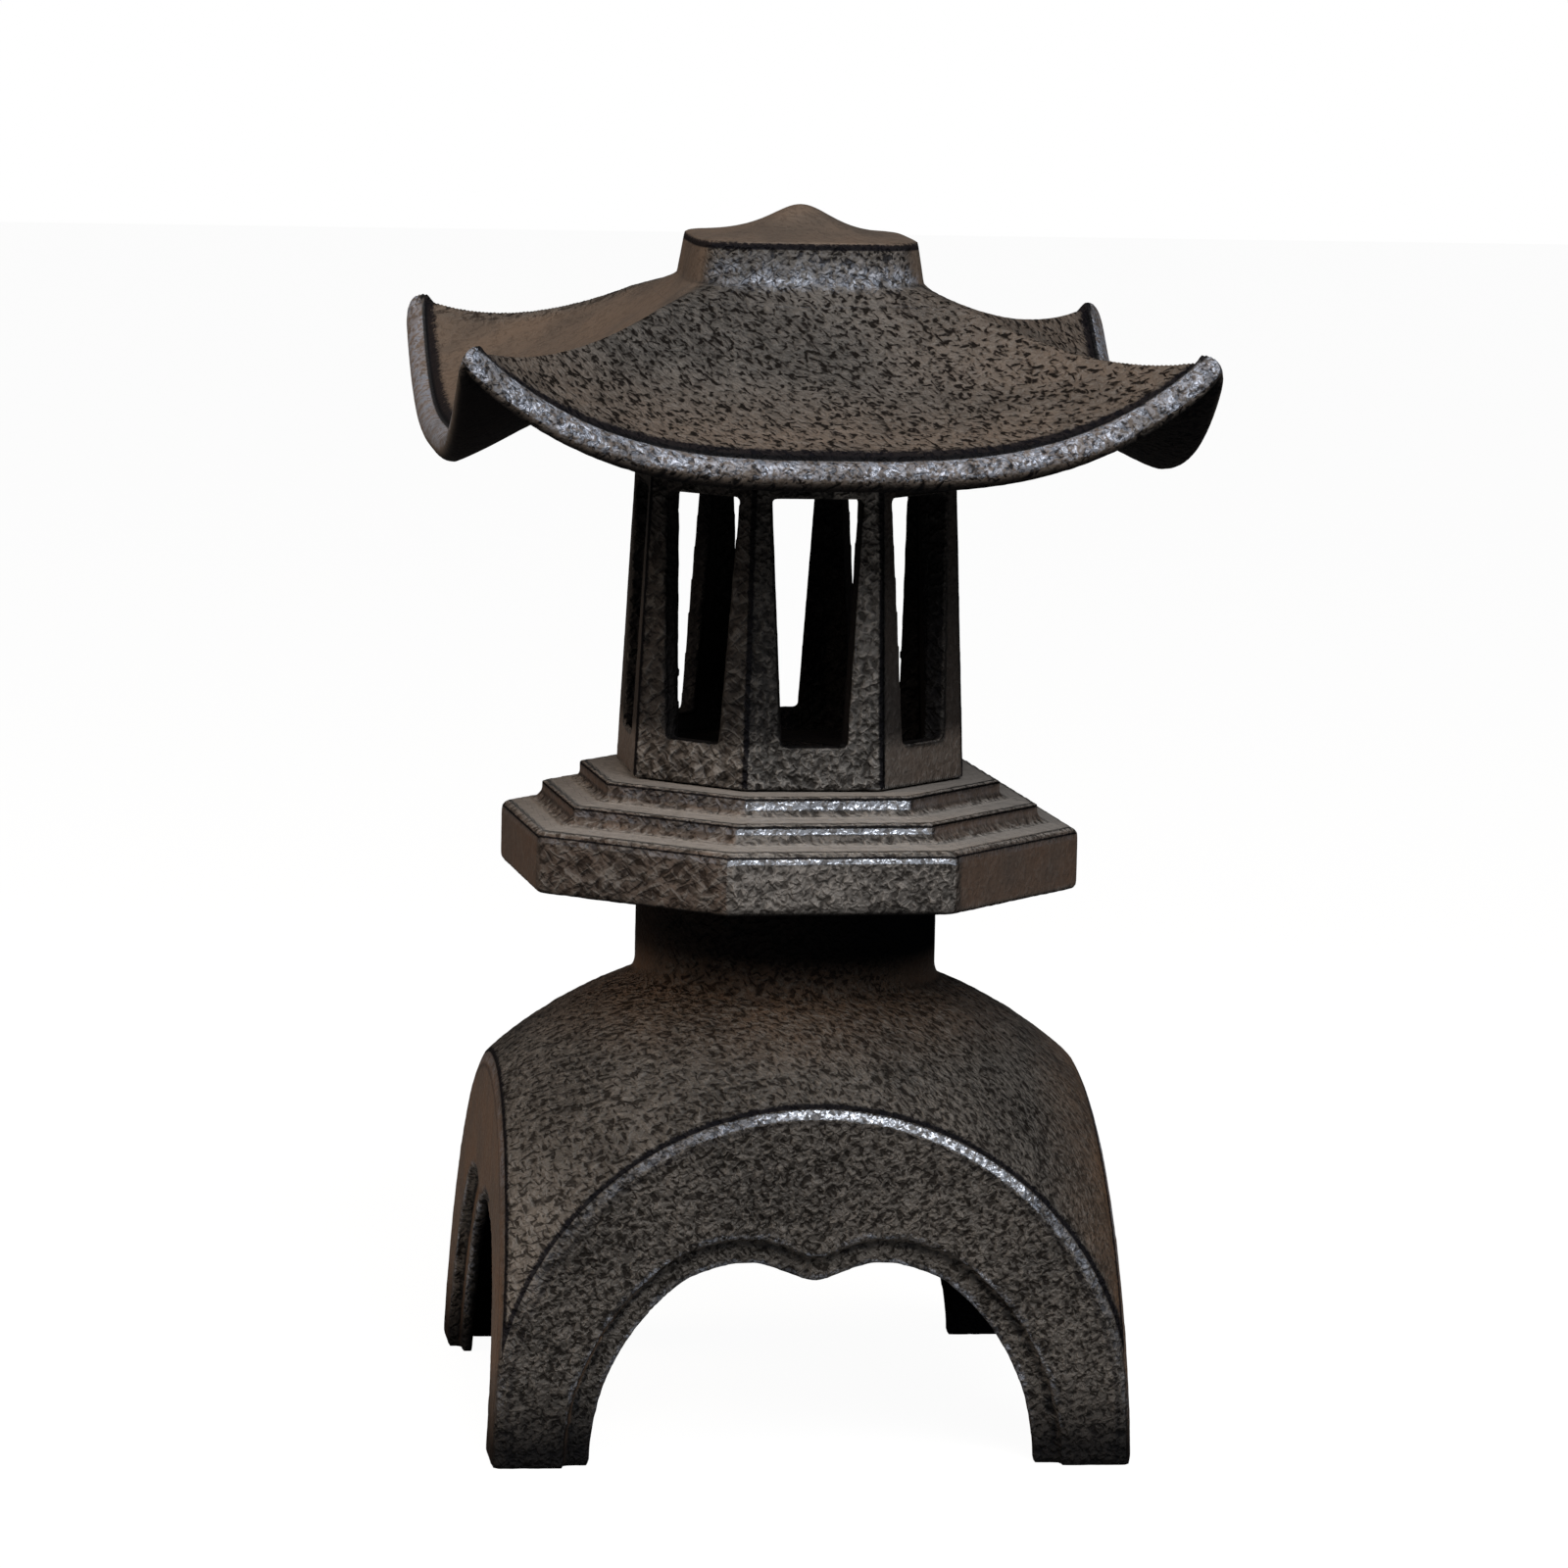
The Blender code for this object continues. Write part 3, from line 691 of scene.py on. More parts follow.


# The second mark is painted shade in corners
wear, crease = edge_marks(base.data, 0.00060, 7)
at = places(base.data)
x, z = at[:, 0], at[:, 2]
inner = inside_of_base(at)
# Smooth upward and sideways skin, where painted light leaves out the pits and browns it
calm = calm_skin(base.data)
# Painted shade on the neck and the dome's top under the deck, which also loses its bright wear there
under_deck = ramp(z, 0.088, 0.098) * (np.hypot(x, at[:, 1]) < NECK_RADIUS + 0.012)
# Painted shade, darker towards the bottom of the feet
feet = ramp(z, 0.019, 0.004) * 0.9
# Painted light on the lower left of the dome
low_left = ramp(-x, 0.030, 0.055) * ramp(z, 0.070, 0.050)
lip = arris_lip(at)
mark(
    base.data, wear=wear * (1 - under_deck), crease=crease, calm=calm,
    dust=ramp(z, 0.078, 0.090) * 0.7,
    pale=low_left * (1 - calm) * (lip < -1) * 0.75,
    lip=np.where(inner > 0.5, FAR_FROM_LIP, lip),
    # Painted sheen on the rubbed arrises, stronger higher up and to the right
    shine=np.clip((z - 0.030) / 0.030, 0.1, 1) * np.clip(1.05 + x * 22, 0.2, 1),
    # Painted shade inside, under the deck and on the feet
    soot=np.maximum.reduce([neighbours_mean(base.data, inner, 2), under_deck * (0.96 + x * 3), feet]),
)
firm = np.maximum(calm, wear)
sand_skin(base, "base_lumps", 0.0026, 0.00045, firm)
sand_skin(base, "base_sand", 0.0015, 0.00022, firm)
keep_in_box(base, "base")
smooth_all(base)
dress(base, iron(
    "base_skin", (0.050, 0.044, 0.039), (0.098, 0.049, 0.021),
    pits=0.75, wrinkles=0.6, underline=0.5, size=1.05,
))
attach(base, "stand")
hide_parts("base")


# Deck: one eight-sided iron casting of three low steps, hollow below, that lies on the neck.
# It has turned a few degrees on its bolt. Its treads are smooth, brown and lighter, from dust and
# painted light, its risers pitted, with painted shade on those at the sides, and the lips of the
# steps are rubbed bright, with a painted sheen at the front and back.

DECK_TURN = radians(4.2)
DECK_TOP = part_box("deck")[1].z
TOP_STEP_RADIUS = 0.0445
TOP_STEP_RISER = 0.0028
TOP_STEP_DROP = 0.0046
MIDDLE_TOP = DECK_TOP - TOP_STEP_DROP
MIDDLE_RADIUS = 0.0525
MIDDLE_RISER = 0.0021
MIDDLE_STEP_DROP = 0.0048
SLAB_TOP = MIDDLE_TOP - MIDDLE_STEP_DROP
SLAB_RADIUS = 0.0613
SLAB_CORNER_BEVEL = 0.0016
SKIRT_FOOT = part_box("deck")[0].z
COVE = 0.0016
COVE_RISE = 0.0003
STACK_GAP = 0.0003
CUP_CLEARANCE = 0.0005
LIP_OF_SLAB = 0.0021
DARK_LINE = 0.0006
CUP_BORE = 0.0095
BOX_WALL = 0.0042
BOX_FOOT_RADIUS = 0.0371
OUT_OF_SIGHT = 0.003
OCTAGON = cos(pi / 8)

wall = WALL / OCTAGON
skirt = SLAB_RADIUS - wall
shelf = MIDDLE_RADIUS - wall
core = TOP_STEP_RADIUS - wall
deck = turned("deck_casting", [
    (0, DECK_TOP), (TOP_STEP_RADIUS, DECK_TOP), (TOP_STEP_RADIUS, DECK_TOP - TOP_STEP_RISER),
    (TOP_STEP_RADIUS + COVE, MIDDLE_TOP + COVE / 2), (MIDDLE_RADIUS, MIDDLE_TOP),
    (MIDDLE_RADIUS, MIDDLE_TOP - MIDDLE_RISER), (MIDDLE_RADIUS + COVE, SLAB_TOP + COVE / 2 + COVE_RISE),
    (SLAB_RADIUS, SLAB_TOP), (SLAB_RADIUS, SKIRT_FOOT), (skirt, SKIRT_FOOT),
    (skirt, SLAB_TOP - WALL), (shelf, SLAB_TOP - WALL), (shelf, MIDDLE_TOP - WALL),
    (core, MIDDLE_TOP - WALL), (core, DECK_TOP - WALL), (0, DECK_TOP - WALL),
], 8, pi / 8 + DECK_TURN)

# The upright corners of the slab are rounded
bpy.ops.object.mode_set(mode="EDIT")
bpy.ops.mesh.select_all(action="DESELECT")
bpy.ops.object.mode_set(mode="OBJECT")
points = deck.data.vertices
for edge in deck.data.edges:
    a, b = (points[i].co for i in edge.vertices)
    edge.select = (a.xy - b.xy).length < 0.0001 and a.xy.length > SLAB_RADIUS - 0.001
bpy.ops.object.mode_set(mode="EDIT")
bpy.context.tool_settings.mesh_select_mode = (False, True, False)
bpy.ops.mesh.bevel(offset=SLAB_CORNER_BEVEL, segments=3, affect="EDGES")
bpy.ops.object.mode_set(mode="OBJECT")

inner = NECK_RADIUS - WALL
cut(deck, turned("deck_seat", [
    (NECK_RADIUS, DECK_TOP - WALL / 2), (NECK_RADIUS, NECK_TOP + STACK_GAP),
    (inner, NECK_TOP + STACK_GAP), (inner, DECK_TOP - WALL / 2),
], 96), "UNION")
cut(deck, rod("deck_hole", CUP_BORE + BOX_WALL + CUP_CLEARANCE, SKIRT_FOOT, DECK_TOP + WALL))
cast(deck, 0.00054)


def across_flats(at, turn):
    """Distance from the axis as an eight-sided outline's corner radius, and which side it is."""
    angle = np.arctan2(at[:, 0], -at[:, 1]) - turn
    side = np.rint(angle / (pi / 4))
    return np.hypot(at[:, 0], at[:, 1]) * np.cos(angle - side * pi / 4) / OCTAGON, side % 8


def underside_of_deck(at):
    """1 for points of the hollow below the deck, of the hole and of the seat under the fire box."""
    radius, _ = across_flats(at, DECK_TURN)
    hollow = (radius < SLAB_RADIUS - WALL / 2) & (at[:, 2] < SLAB_TOP - WALL / 2)
    hollow |= (radius < MIDDLE_RADIUS - WALL / 2) & (at[:, 2] < MIDDLE_TOP - WALL / 2)
    hollow |= (radius < TOP_STEP_RADIUS - WALL / 2) & (at[:, 2] < DECK_TOP - WALL / 2)
    return (hollow | (radius < BOX_FOOT_RADIUS - OUT_OF_SIGHT)).astype(float)


def step_lip(at):
    """Across the worn lip of the nearest step, which has a painted sheen, from -1 at its arris, where a
    line of shade is painted, to 1 further down.
    """
    radius, _ = across_flats(at, DECK_TURN)
    lip = np.full(len(at), float(FAR_FROM_LIP))
    for edge, top, tall, start in (
        (TOP_STEP_RADIUS, DECK_TOP, TOP_STEP_RISER, 0),
        (MIDDLE_RADIUS, MIDDLE_TOP, MIDDLE_RISER, (TOP_STEP_RADIUS + MIDDLE_RADIUS) / 2),
        (SLAB_RADIUS, SLAB_TOP, LIP_OF_SLAB, (MIDDLE_RADIUS + SLAB_RADIUS) / 2),
    ):
        down = np.maximum(top - at[:, 2], 0) - DARK_LINE
        inward = np.maximum(edge - radius, 0) / DARK_LINE
        across = np.where(down > 0, 2 * down / (tall - DARK_LINE), down / DARK_LINE) - 1 - inward
        lip = np.where(radius > start, np.clip(across, -FAR_FROM_LIP, FAR_FROM_LIP), lip)
    return lip


thin(deck, underside_of_deck(places(deck.data)), 0.25)
# The second mark is painted shade in corners
wear, crease = edge_marks(deck.data, 0.00055, 7)
at = places(deck.data)
rise = facings(deck.data)[:, 2]
looks_down = ramp(-rise, 0.50, 0.75)
hidden = underside_of_deck(at)
side = across_flats(at, DECK_TURN)[1]
front_or_back, left_front = side % 4 == 0, side % 4 == 3
# Smooth upward and sideways skin, where painted light leaves out the pits and browns it
calm = calm_skin(deck.data)
mark(
    deck.data, wear=wear * 0.6, crease=crease, calm=calm,
    # Brown from dust and painted light on every side but the front, which stays grey
    dust=np.where(side == 0, 0, 0.6),
    # Painted light: the treads lighter
    pale=ramp(rise, 0.80, 0.90),
    lip=np.where(hidden + looks_down > 0.5, FAR_FROM_LIP, step_lip(at)),
    # Painted sheen on the lips, strongest at the front and back
    shine=np.select([front_or_back, left_front], [1.0, 0.35], 0.12),
    # Painted shade below the deck, along the skirt's foot and on the side risers
    soot=np.maximum.reduce([
        looks_down * 0.9, hidden, ramp(at[:, 2], SKIRT_FOOT + 0.0022, SKIRT_FOOT) * 0.6,
        (np.abs(rise) < 0.6) * ~front_or_back * 0.35,
    ]),
)
sand_skin(deck, "deck_lumps", 0.0021, 0.00032, np.maximum(calm, wear))
smooth_all(deck)
dress(deck, iron(
    "deck_skin", (0.092, 0.084, 0.078), (0.105, 0.062, 0.040),
    pits=0.6, wrinkles=0.7, size=1.25, shift=(0.1, 0, 0),
))
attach(deck, "stand")
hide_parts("deck")


# Fire box: one eight-sided iron casting with a tall window in each side, open at the top.
# The windows widen upwards. A cup in its floor hides the bolt's head and carries the light.

BOX_TURN = radians(1.5)
BOX_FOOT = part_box("deck")[1].z + STACK_GAP
BOX_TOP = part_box("fire_box")[1].z
BOX_HEAD_RADIUS = 0.0340
FLOOR_THICKNESS = 0.0043
BOX_FLOOR = BOX_FOOT + FLOOR_THICKNESS
SILL_HEIGHT = 0.0087
HEAD_BAND = 0.0078
WINDOW_FOOT_WIDTH = 0.0138
WINDOW_HEAD_WIDTH = 0.0200
REVEAL_DRAFT = radians(11)
CUP_DEPTH = 0.0070
CUP_FLOOR = BOX_FLOOR - CUP_DEPTH

wall = BOX_WALL / OCTAGON
taper = (BOX_FOOT_RADIUS - BOX_HEAD_RADIUS) / (BOX_TOP - BOX_FOOT)
floor_radius = BOX_FOOT_RADIUS - FLOOR_THICKNESS * taper - wall
fire_box = turned("fire_box_casting", [
    (0, BOX_FLOOR), (floor_radius, BOX_FLOOR), (BOX_HEAD_RADIUS - wall, BOX_TOP),
    (BOX_HEAD_RADIUS, BOX_TOP), (BOX_FOOT_RADIUS, BOX_FOOT), (0, BOX_FOOT),
], 8, pi / 8 + BOX_TURN)
cup = rod("cup", CUP_BORE + BOX_WALL, CUP_FLOOR - BOX_WALL, BOX_FOOT + FLOOR_THICKNESS / 2)
cut(fire_box, cup, "UNION")
cut(fire_box, rod("cup_pocket", CUP_BORE, CUP_FLOOR, BOX_FLOOR + WALL))
cut(fire_box, rod("cup_hole", BOLT_HOLE, CUP_FLOOR - 2 * BOX_WALL, BOX_FLOOR, 32))
face = BOX_FOOT_RADIUS * OCTAGON
for k in range(8):
    bpy.ops.mesh.primitive_cube_add(size=2)
    window = named("window")
    for point in window.data.vertices:
        upper = point.co.z > 0
        width = WINDOW_HEAD_WIDTH if upper else WINDOW_FOOT_WIDTH
        reach = face - 2 * BOX_WALL * point.co.y
        point.co.x *= width / 2 + (reach - face) * tan(REVEAL_DRAFT)
        point.co.y = -reach
        point.co.z = BOX_TOP - HEAD_BAND if upper else BOX_FOOT + SILL_HEIGHT
    window.data.transform(Matrix.Rotation(BOX_TURN + k * pi / 4, 4, "Z"))
    cut(fire_box, window)
cast(fire_box, 0.00050)


def looking_in(mesh):
    """How squarely each vertex faces the lantern's axis, from -1 outwards to 1 inwards."""
    at, way = places(mesh), facings(mesh)
    from_axis = np.hypot(at[:, 0], at[:, 1])
    return -(at[:, 0] * way[:, 0] + at[:, 1] * way[:, 1]) / np.maximum(from_axis, 1e-6)


at = places(fire_box.data)
from_axis = np.hypot(at[:, 0], at[:, 1])
below_sills = (at[:, 2] < BOX_FOOT + SILL_HEIGHT) & (from_axis < BOX_FOOT_RADIUS * OCTAGON - OUT_OF_SIGHT)
thin(fire_box, np.maximum(below_sills, looking_in(fire_box.data) > 0.9).astype(float), 0.3)
# The second mark is painted shade in corners
wear, crease = edge_marks(fire_box.data, 0.00060, 7)
at = places(fire_box.data)
from_axis = np.hypot(at[:, 0], at[:, 1])
looks_in = looking_in(fire_box.data)
# Smooth upward and sideways skin, where painted light leaves out the pits and browns it
calm = calm_skin(fire_box.data)
angle = np.arctan2(at[:, 0], -at[:, 1]) - BOX_TURN - pi / 8
off_corner = np.abs(from_axis * np.sin(angle - np.rint(angle / (pi / 4)) * pi / 4))
on_posts = np.clip((at[:, 2] - BOX_FOOT - SILL_HEIGHT + 0.001) / 0.004, 0, 1)
lit_post = (at[:, 0] > 0.004) & (at[:, 0] < BOX_FOOT_RADIUS * sin(pi / 8)) & (at[:, 1] < 0)
mark(
    fire_box.data, wear=wear * 0.5, crease=crease, calm=calm,
    # Brown from dust and painted light on every side but the front, which stays grey
    dust=np.where(across_flats(at, BOX_TURN)[1] == 0, 0, 0.6),
    # Black lines of painted shade down the outer corners
    lip=np.where(looks_in < -0.7, -1.2 - off_corner / 0.0010, FAR_FROM_LIP),
    # Painted sheen along the outer corners
    shine=0.35,
    # Painted shade inside and on the posts, less on the post that the light falls on
    soot=np.maximum(
        np.clip((looks_in + 0.5) * 3, 0, 1) * 0.92, on_posts * np.where(lit_post, 0.05, 0.72)
    ),
)
sand_skin(fire_box, "box_sand", 0.0017, 0.00030, np.maximum(np.maximum(calm, wear), on_posts))
smooth_all(fire_box)
dress(fire_box, iron(
    "fire_box_skin", (0.082, 0.077, 0.073), (0.080, 0.058, 0.045),
    pits=0.6, wrinkles=0.9, size=1.25, shift=(0, 0.1, 0),
))
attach(fire_box, "stand")
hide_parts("fire_box")


# Roof: one square iron casting with curved faces, upturned corners and a rounded rim.
# A collar with rounded corners carries a low peaked cap. The roof is a loose lid, and the lip
# of a round seat below it drops into the fire box.

ROOF_SEAT = BOX_TOP + STACK_GAP
EAVE_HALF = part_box("roof")[1].x
EAVE_THICKNESS = 0.0061
EAVE_TOP = 0.0034
TIP_TOP = 0.0254
EAVE_SLOPE = 0.32
TIP_SLOPE = -0.40
CURL_POWER = 3.1
COLLAR_HALF = 0.0242
COLLAR_DRAFT = 0.0014
COLLAR_FOOT = 0.0345
COLLAR_HEIGHT = 0.0087
COLLAR_POWER = 5
COLLAR_LINE = 0.0014
FACE_SLOPE = 0.95
HIP_SLOPE = 0.56
CAP_HEIGHT = 0.0065
CAP_SPREAD = 0.40
CORNER_POWER = 60
BEAD_WIDTH = 0.0030
GROOVE_WIDTH = 0.0009
GROOVE_DEPTH = 0.0005
GROOVE_SHADOW = 0.0005
RUN = EAVE_HALF - COLLAR_HALF
SQUARED_BY = 0.14
CAP_RINGS = 40
COLLAR_RINGS = 8
SLOPE_RINGS = 59
BEAD_RINGS = 14
BEAD_START = 112
BEAD_SWEEP = 202
BEAD_STANDS = 0.0001
UNDER_INSET = 0.0034
UNDER_INSET_FROM = 0.060
UNDER_INSET_RUN = 0.0153
LIP_CLEARANCE = 0.0012
LIP = BOX_HEAD_RADIUS * OCTAGON - BOX_WALL - LIP_CLEARANCE
ABOVE_ROOF = ROOF_SEAT + 0.05
SEAT_FLARE = 0.0048
SEAT_WALL = 0.0035
SEAT_SPAN = 0.0083
SEAT_DROP = 0.0040
SEAT_STEPS = 10


def between(share, start, end, start_slope, end_slope):
    """A smooth curve between two heights, with the slopes given per unit of share."""
    s2, s3 = share ** 2, share ** 3
    return (
        (2 * s3 - 3 * s2 + 1) * start + (s3 - 2 * s2 + share) * start_slope
        + (3 * s2 - 2 * s3) * end + (s3 - s2) * end_slope
    )


def slope_heights(half):
    """Heights of a face's middle and of the hip, a distance half from the roof's axis."""
    share = (EAVE_HALF - half) / RUN
    return (
        between(share, EAVE_TOP, COLLAR_FOOT, EAVE_SLOPE * RUN, FACE_SLOPE * RUN),
        between(share, TIP_TOP, COLLAR_FOOT, TIP_SLOPE * RUN, HIP_SLOPE * RUN),
    )


def roof_path(wall, drop, with_bead):
    """Rings from the peak to the eave: (half, 1/power, height at the middle, height at the corner)."""
    path = []
    top_half = COLLAR_HALF - COLLAR_DRAFT - wall
    collar_top = COLLAR_FOOT + COLLAR_HEIGHT - wall
    edge = 1 / (1 + (1 / CAP_SPREAD) ** 2)
    for i in range(1, CAP_RINGS):
        share = i / CAP_RINGS
        peak = 1 / (1 + (share / CAP_SPREAD) ** 2)
        level = collar_top + CAP_HEIGHT * (peak - edge) / (1 - edge)
        path.append((top_half * share, 1 / (2 + (COLLAR_POWER - 2) * share), level, level))
    for i in range(COLLAR_RINGS + 1):
        share = i / COLLAR_RINGS
        level = collar_top + (COLLAR_FOOT - drop - collar_top) * share
        path.append((top_half + (COLLAR_HALF - wall - top_half) * share, 1 / COLLAR_POWER, level, level))
    last = EAVE_HALF - (BEAD_WIDTH + 2 * GROOVE_WIDTH if with_bead else 0)
    for i in range(1, SLOPE_RINGS + 1):
        half = COLLAR_HALF + (last - COLLAR_HALF) * i / SLOPE_RINGS
        middle, corner = slope_heights(half)
        squareness = min(1.0, (half - COLLAR_HALF) / (SQUARED_BY * RUN))
        power = 1 / (1 / COLLAR_POWER + (1 / CORNER_POWER - 1 / COLLAR_POWER) * squareness)
        inward = wall * (1 - squareness)
        path.append((half - inward, 1 / power, middle - drop, corner - drop))
    if with_bead:
        middle, corner = slope_heights(EAVE_HALF)
        centre = EAVE_HALF - BEAD_WIDTH
        for across, depth in ((1.5, 0.7), (1.0, 1.0), (0.5, 0.7)):
            half = centre - GROOVE_WIDTH * across
            m, c = slope_heights(half)
            path.append((half, 1 / CORNER_POWER, m - GROOVE_DEPTH * depth, c - GROOVE_DEPTH * depth))
        tall = EAVE_THICKNESS / 2
        for i in range(BEAD_RINGS + 1):
            angle = radians(BEAD_START - BEAD_SWEEP * i / BEAD_RINGS)
            out = centre + BEAD_WIDTH * cos(angle)
            level = tall * (sin(angle) - 1) + BEAD_STANDS
            path.append((out, 1 / CORNER_POWER, middle + level, corner + level))
    return path


def even_path(path, rings, corner_weight=0.35):
    """The same path with its rings evenly spaced along the skin."""
    table = np.array(path)
    level = table[:, 2] * (1 - corner_weight) + table[:, 3] * corner_weight
    steps = np.hypot(np.diff(table[:, 0]), np.diff(level))
    along = np.concatenate(([0], np.cumsum(steps)))
    start = table[0, 0]
    total = along[-1] + start
    wanted = total * np.arange(1, rings + 1) / rings - start
    inside = np.clip(wanted, 0, None)
    made = np.stack([np.interp(inside, along, table[:, k]) for k in range(4)], axis=1)
    early = wanted < 0
    made[early, 0] = start * (wanted[early] + start) / start
    return made


def roof_skin(name, path, rings, peak):
    """A square grid whose rings are laid onto the path."""
    bpy.ops.mesh.primitive_grid_add(x_subdivisions=2 * rings, y_subdivisions=2 * rings, size=2)
    made = named(name)
    rows = np.vstack(([0.0, 0.5, peak, peak], even_path(path, rings)))
    at = places(made.data)
    away = towards_face(at)
    index = np.rint(away * rings).astype(int)
    half, shape, middle, corner = (rows[index, k] for k in range(4))
    small = np.minimum(np.abs(at[:, 0]), np.abs(at[:, 1]))
    along = small / np.maximum(away, 1e-9)
    reach = half / (1 + along ** (1 / shape)) ** shape
    height = ROOF_SEAT + middle + (corner - middle) * along ** CURL_POWER
    major = np.abs(at[:, 0]) >= np.abs(at[:, 1])
    wide, narrow = reach, reach * along
    x = np.where(major, wide, narrow) * np.sign(at[:, 0])
    y = np.where(major, narrow, wide) * np.sign(at[:, 1])
    made.data.vertices.foreach_set("co", np.stack([x, y, height], axis=1).ravel())
    made.data.update()
    return made


apex = COLLAR_FOOT + COLLAR_HEIGHT + CAP_HEIGHT
TOP_RINGS, UNDER_RINGS = ((126, 50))
roof = roof_skin("roof_casting", roof_path(0, 0, True), TOP_RINGS, apex)
under = roof_skin("roof_underside", roof_path(WALL, EAVE_THICKNESS, False), UNDER_RINGS, apex - WALL)
at = places(under.data)
shrink = np.clip((towards_face(at) - UNDER_INSET_FROM) / UNDER_INSET_RUN, 0, 1)
at[:, :2] *= 1 - (UNDER_INSET / EAVE_HALF) * shrink[:, None]
under.data.vertices.foreach_set("co", at.ravel())

# The underside is turned to face down, and a band along the eave joins it to the top
bpy.ops.object.select_all(action="DESELECT")
under.select_set(True)
bpy.context.view_layer.objects.active = under
bpy.ops.object.mode_set(mode="EDIT")
bpy.ops.mesh.select_all(action="SELECT")
bpy.ops.mesh.flip_normals()
bpy.ops.object.mode_set(mode="OBJECT")
roof.select_set(True)
bpy.context.view_layer.objects.active = roof
bpy.ops.object.join()
bpy.ops.object.mode_set(mode="EDIT")
bpy.context.tool_settings.mesh_select_mode = (False, True, False)
bpy.ops.mesh.select_all(action="DESELECT")
bpy.ops.mesh.select_non_manifold(
    extend=False, use_wire=False, use_boundary=True, use_multi_face=False,
    use_non_contiguous=False, use_verts=False,
)
bpy.ops.mesh.bridge_edge_loops()
bpy.ops.object.mode_set(mode="OBJECT")
finish_with(roof, "SMOOTH", factor=0.5, iterations=2)


def bead_lip(at):
    """Across the worn upper side of the rim's bead, which has a painted sheen, from -1 at the groove,
    where a line of shade is painted, to 1 at its outside.
    """
    far = towards_face(at)
    along = np.minimum(np.abs(at[:, 0]), np.abs(at[:, 1])) / np.maximum(far, 1e-9)
    middle, corner = slope_heights(EAVE_HALF)
    level = ROOF_SEAT + middle + (corner - middle) * along ** CURL_POWER
    tall = EAVE_THICKNESS / 2
    out, rise = (far - EAVE_HALF + BEAD_WIDTH) / BEAD_WIDTH, (at[:, 2] - level + tall) / tall
    turned_down = 90 - np.degrees(np.arctan2(rise, np.maximum(out, 0)))
    return np.where(out < 0, -0.75 + out * 1.2, turned_down / 60 - 0.75)


def collar_lip(at):
    """Across the collar's side, from -1 just below its top edge, where a black line of shade is painted,
    to 1 at its foot.
    """
    down = ROOF_SEAT + COLLAR_FOOT + COLLAR_HEIGHT - at[:, 2]
    inward = COLLAR_HALF - COLLAR_DRAFT - (at[:, 0] ** 4 + at[:, 1] ** 4) ** 0.25
    side = np.where(down > COLLAR_LINE, 2 * (down - COLLAR_LINE) / COLLAR_HEIGHT, down / COLLAR_LINE - 1)
    return side - 1 - np.maximum(inward, 0) / DARK_LINE


# The second mark is painted shade in corners
wear, crease = edge_marks(roof.data, 0.00090, 8)
at = places(roof.data)
way = facings(roof.data)
x, wide = at[:, 0], towards_face(at)
below = (way[:, 2] < -0.35).astype(float)
# Painted shade: a dark line along the groove inside the bead
from_groove = (wide - (EAVE_HALF - BEAD_WIDTH - GROOVE_WIDTH * 0.6)) / GROOVE_SHADOW
groove = np.exp(-(from_groove ** 2)) * (way[:, 2] > 0.2)
down_collar = ROOF_SEAT + COLLAR_FOOT + COLLAR_HEIGHT - at[:, 2]
on_collar = (at[:, 2] > ROOF_SEAT + COLLAR_FOOT - 0.004) & (way[:, 2] > -0.3)
on_cap = np.clip((0.0004 - down_collar) / 0.0006 + 1, 0, 1)
left_face = np.clip((-x - np.abs(at[:, 1])) / 0.004, 0, 1)
# Smooth skin on the cap and the side faces, where painted light leaves out the pits and browns it
calm = np.maximum.reduce([calm_skin(roof.data) * (way[:, 0] > 0.2), on_cap, left_face])
# Painted sheen on the collar's front and back, strongest towards its foot
at_collar_foot = np.clip((down_collar / COLLAR_HEIGHT - 0.30) / 0.6, 0.12, 1)
collar_shine = 0.6 * at_collar_foot * ramp(np.abs(way[:, 1]), 0.45, 0.95)
mark(
    roof.data, wear=wear * 0.5, crease=np.maximum(crease, groove), calm=calm,
    # Browner low down and to the right
    dust=np.maximum(ramp(wide, 0.045, 0.065), ramp(x, 0.005, 0.045)) * 0.7,
    lip=np.select([way[:, 2] < -0.3, on_collar], [FAR_FROM_LIP, collar_lip(at)], bead_lip(at)),
    # Painted sheen on the bead and the collar
    shine=np.where(on_collar, collar_shine, 0.7),
    # Painted shade under the roof
    soot=neighbours_mean(roof.data, below * 0.95, 3),
)
sand_skin(roof, "roof_sand", 0.0016, 0.00026, calm)
keep_in_box(roof, "roof")

# The seat's upper points are first set above the roof, and then let down into its wall
tops = [
    (LIP + SEAT_FLARE - SEAT_SPAN * i / SEAT_STEPS, ABOVE_ROOF) for i in range(SEAT_STEPS + 1)
]
seat = turned("roof_seat", [
    *reversed(tops), (LIP + SEAT_FLARE, ROOF_SEAT), (LIP, ROOF_SEAT),
    (LIP, ROOF_SEAT - SEAT_DROP), (LIP - SEAT_WALL, ROOF_SEAT - SEAT_DROP),
], 144)
for point in seat.data.vertices:
    if point.co.z > ABOVE_ROOF - 0.01:
        far, near = sorted((abs(point.co.x), abs(point.co.y)), reverse=True)
        round_half = (far ** COLLAR_POWER + near ** COLLAR_POWER) ** (1 / COLLAR_POWER)
        if round_half > COLLAR_HALF - WALL * 0.6:
            middle, corner = slope_heights(max(far, COLLAR_HALF))
            level = middle + (corner - middle) * (near / far) ** CURL_POWER - EAVE_THICKNESS / 2
            point.co.z = ROOF_SEAT + min(level, COLLAR_FOOT - EAVE_THICKNESS / 2)
        else:
            point.co.z = ROOF_SEAT + COLLAR_FOOT + COLLAR_HEIGHT - WALL / 2
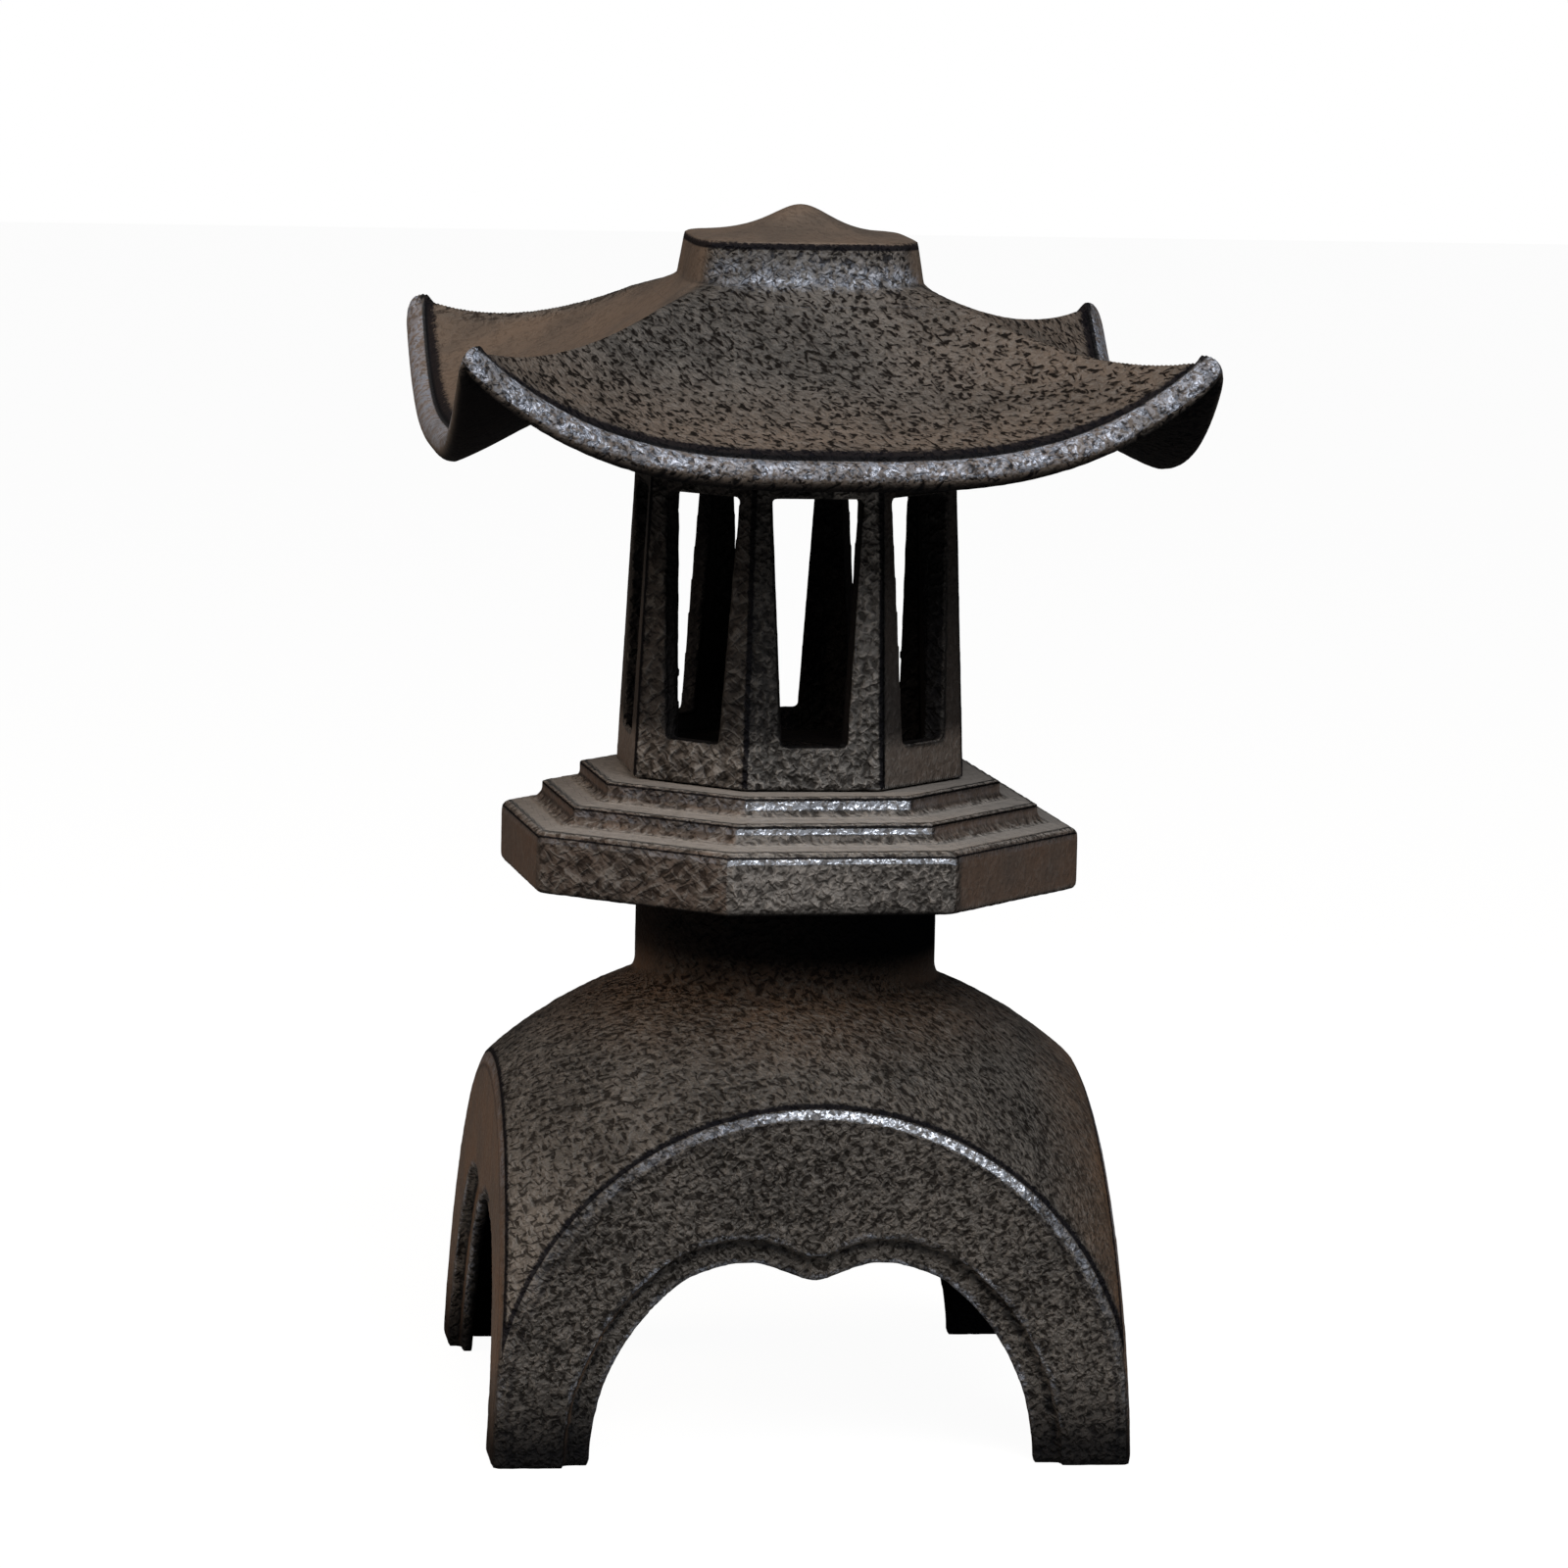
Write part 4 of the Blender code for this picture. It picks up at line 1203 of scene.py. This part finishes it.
finish_with(seat, "BEVEL", width=0.0006, segments=2, limit_method="ANGLE", angle_limit=radians(50))
# The seat inside the roof carries painted shade
mark(seat.data, wear=0, crease=0, calm=0, dust=0, lip=FAR_FROM_LIP, shine=0, soot=0.9)
bpy.ops.object.select_all(action="DESELECT")
seat.select_set(True)
roof.select_set(True)
bpy.context.view_layer.objects.active = roof
bpy.ops.object.join()
smooth_all(roof)
dress(roof, iron(
    "roof_skin", (0.050, 0.045, 0.041), (0.104, 0.074, 0.054),
    pits=0.97, wrinkles=0.35, size=1.12, shift=(0, 0, 0.1),
))
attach(roof, "roof")
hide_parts("roof")


# Fastening: a hexagon bolt with its nut and two washers, of dull zinc-plated steel.
# The bolt comes down through the cup, the deck and the neck, and the nut is turned from below.

def zinc(name):
    """Dull zinc plating, clouded light and dark by age."""
    made = bpy.data.materials.new(name)
    made.use_nodes = True
    net = made.node_tree
    shader = net.nodes["Principled BSDF"]
    coordinates = net.nodes.new("ShaderNodeTexCoord")
    clouds = net.nodes.new("ShaderNodeTexNoise")
    clouds.inputs["Scale"].default_value = 900
    clouds.inputs["Detail"].default_value = 3
    net.links.new(coordinates.outputs["Object"], clouds.inputs["Vector"])
    tint = net.nodes.new("ShaderNodeValToRGB")
    tint.color_ramp.elements[0].position = 0.35
    tint.color_ramp.elements[0].color = (0.16, 0.15, 0.14, 1)
    tint.color_ramp.elements[1].position = 0.65
    tint.color_ramp.elements[1].color = (0.40, 0.39, 0.37, 1)
    net.links.new(clouds.outputs["Fac"], tint.inputs["Fac"])
    net.links.new(tint.outputs["Color"], shader.inputs["Base Color"])
    dull = net.nodes.new("ShaderNodeMapRange")
    dull.inputs["To Min"].default_value = 0.55
    dull.inputs["To Max"].default_value = 0.35
    net.links.new(clouds.outputs["Fac"], dull.inputs["Value"])
    net.links.new(dull.outputs["Result"], shader.inputs["Roughness"])
    shader.inputs["Metallic"].default_value = 0.9
    relief = net.nodes.new("ShaderNodeBump")
    relief.inputs["Distance"].default_value = 0.00004
    net.links.new(clouds.outputs["Fac"], relief.inputs["Height"])
    net.links.new(relief.outputs["Normal"], shader.inputs["Normal"])
    return made


plated = zinc("zinc_plate")
for node_name in ("tie_bolt", "tie_nut", "head_washer", "nut_washer"):
    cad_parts[node_name].data.materials.clear()
    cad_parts[node_name].data.materials.append(plated)
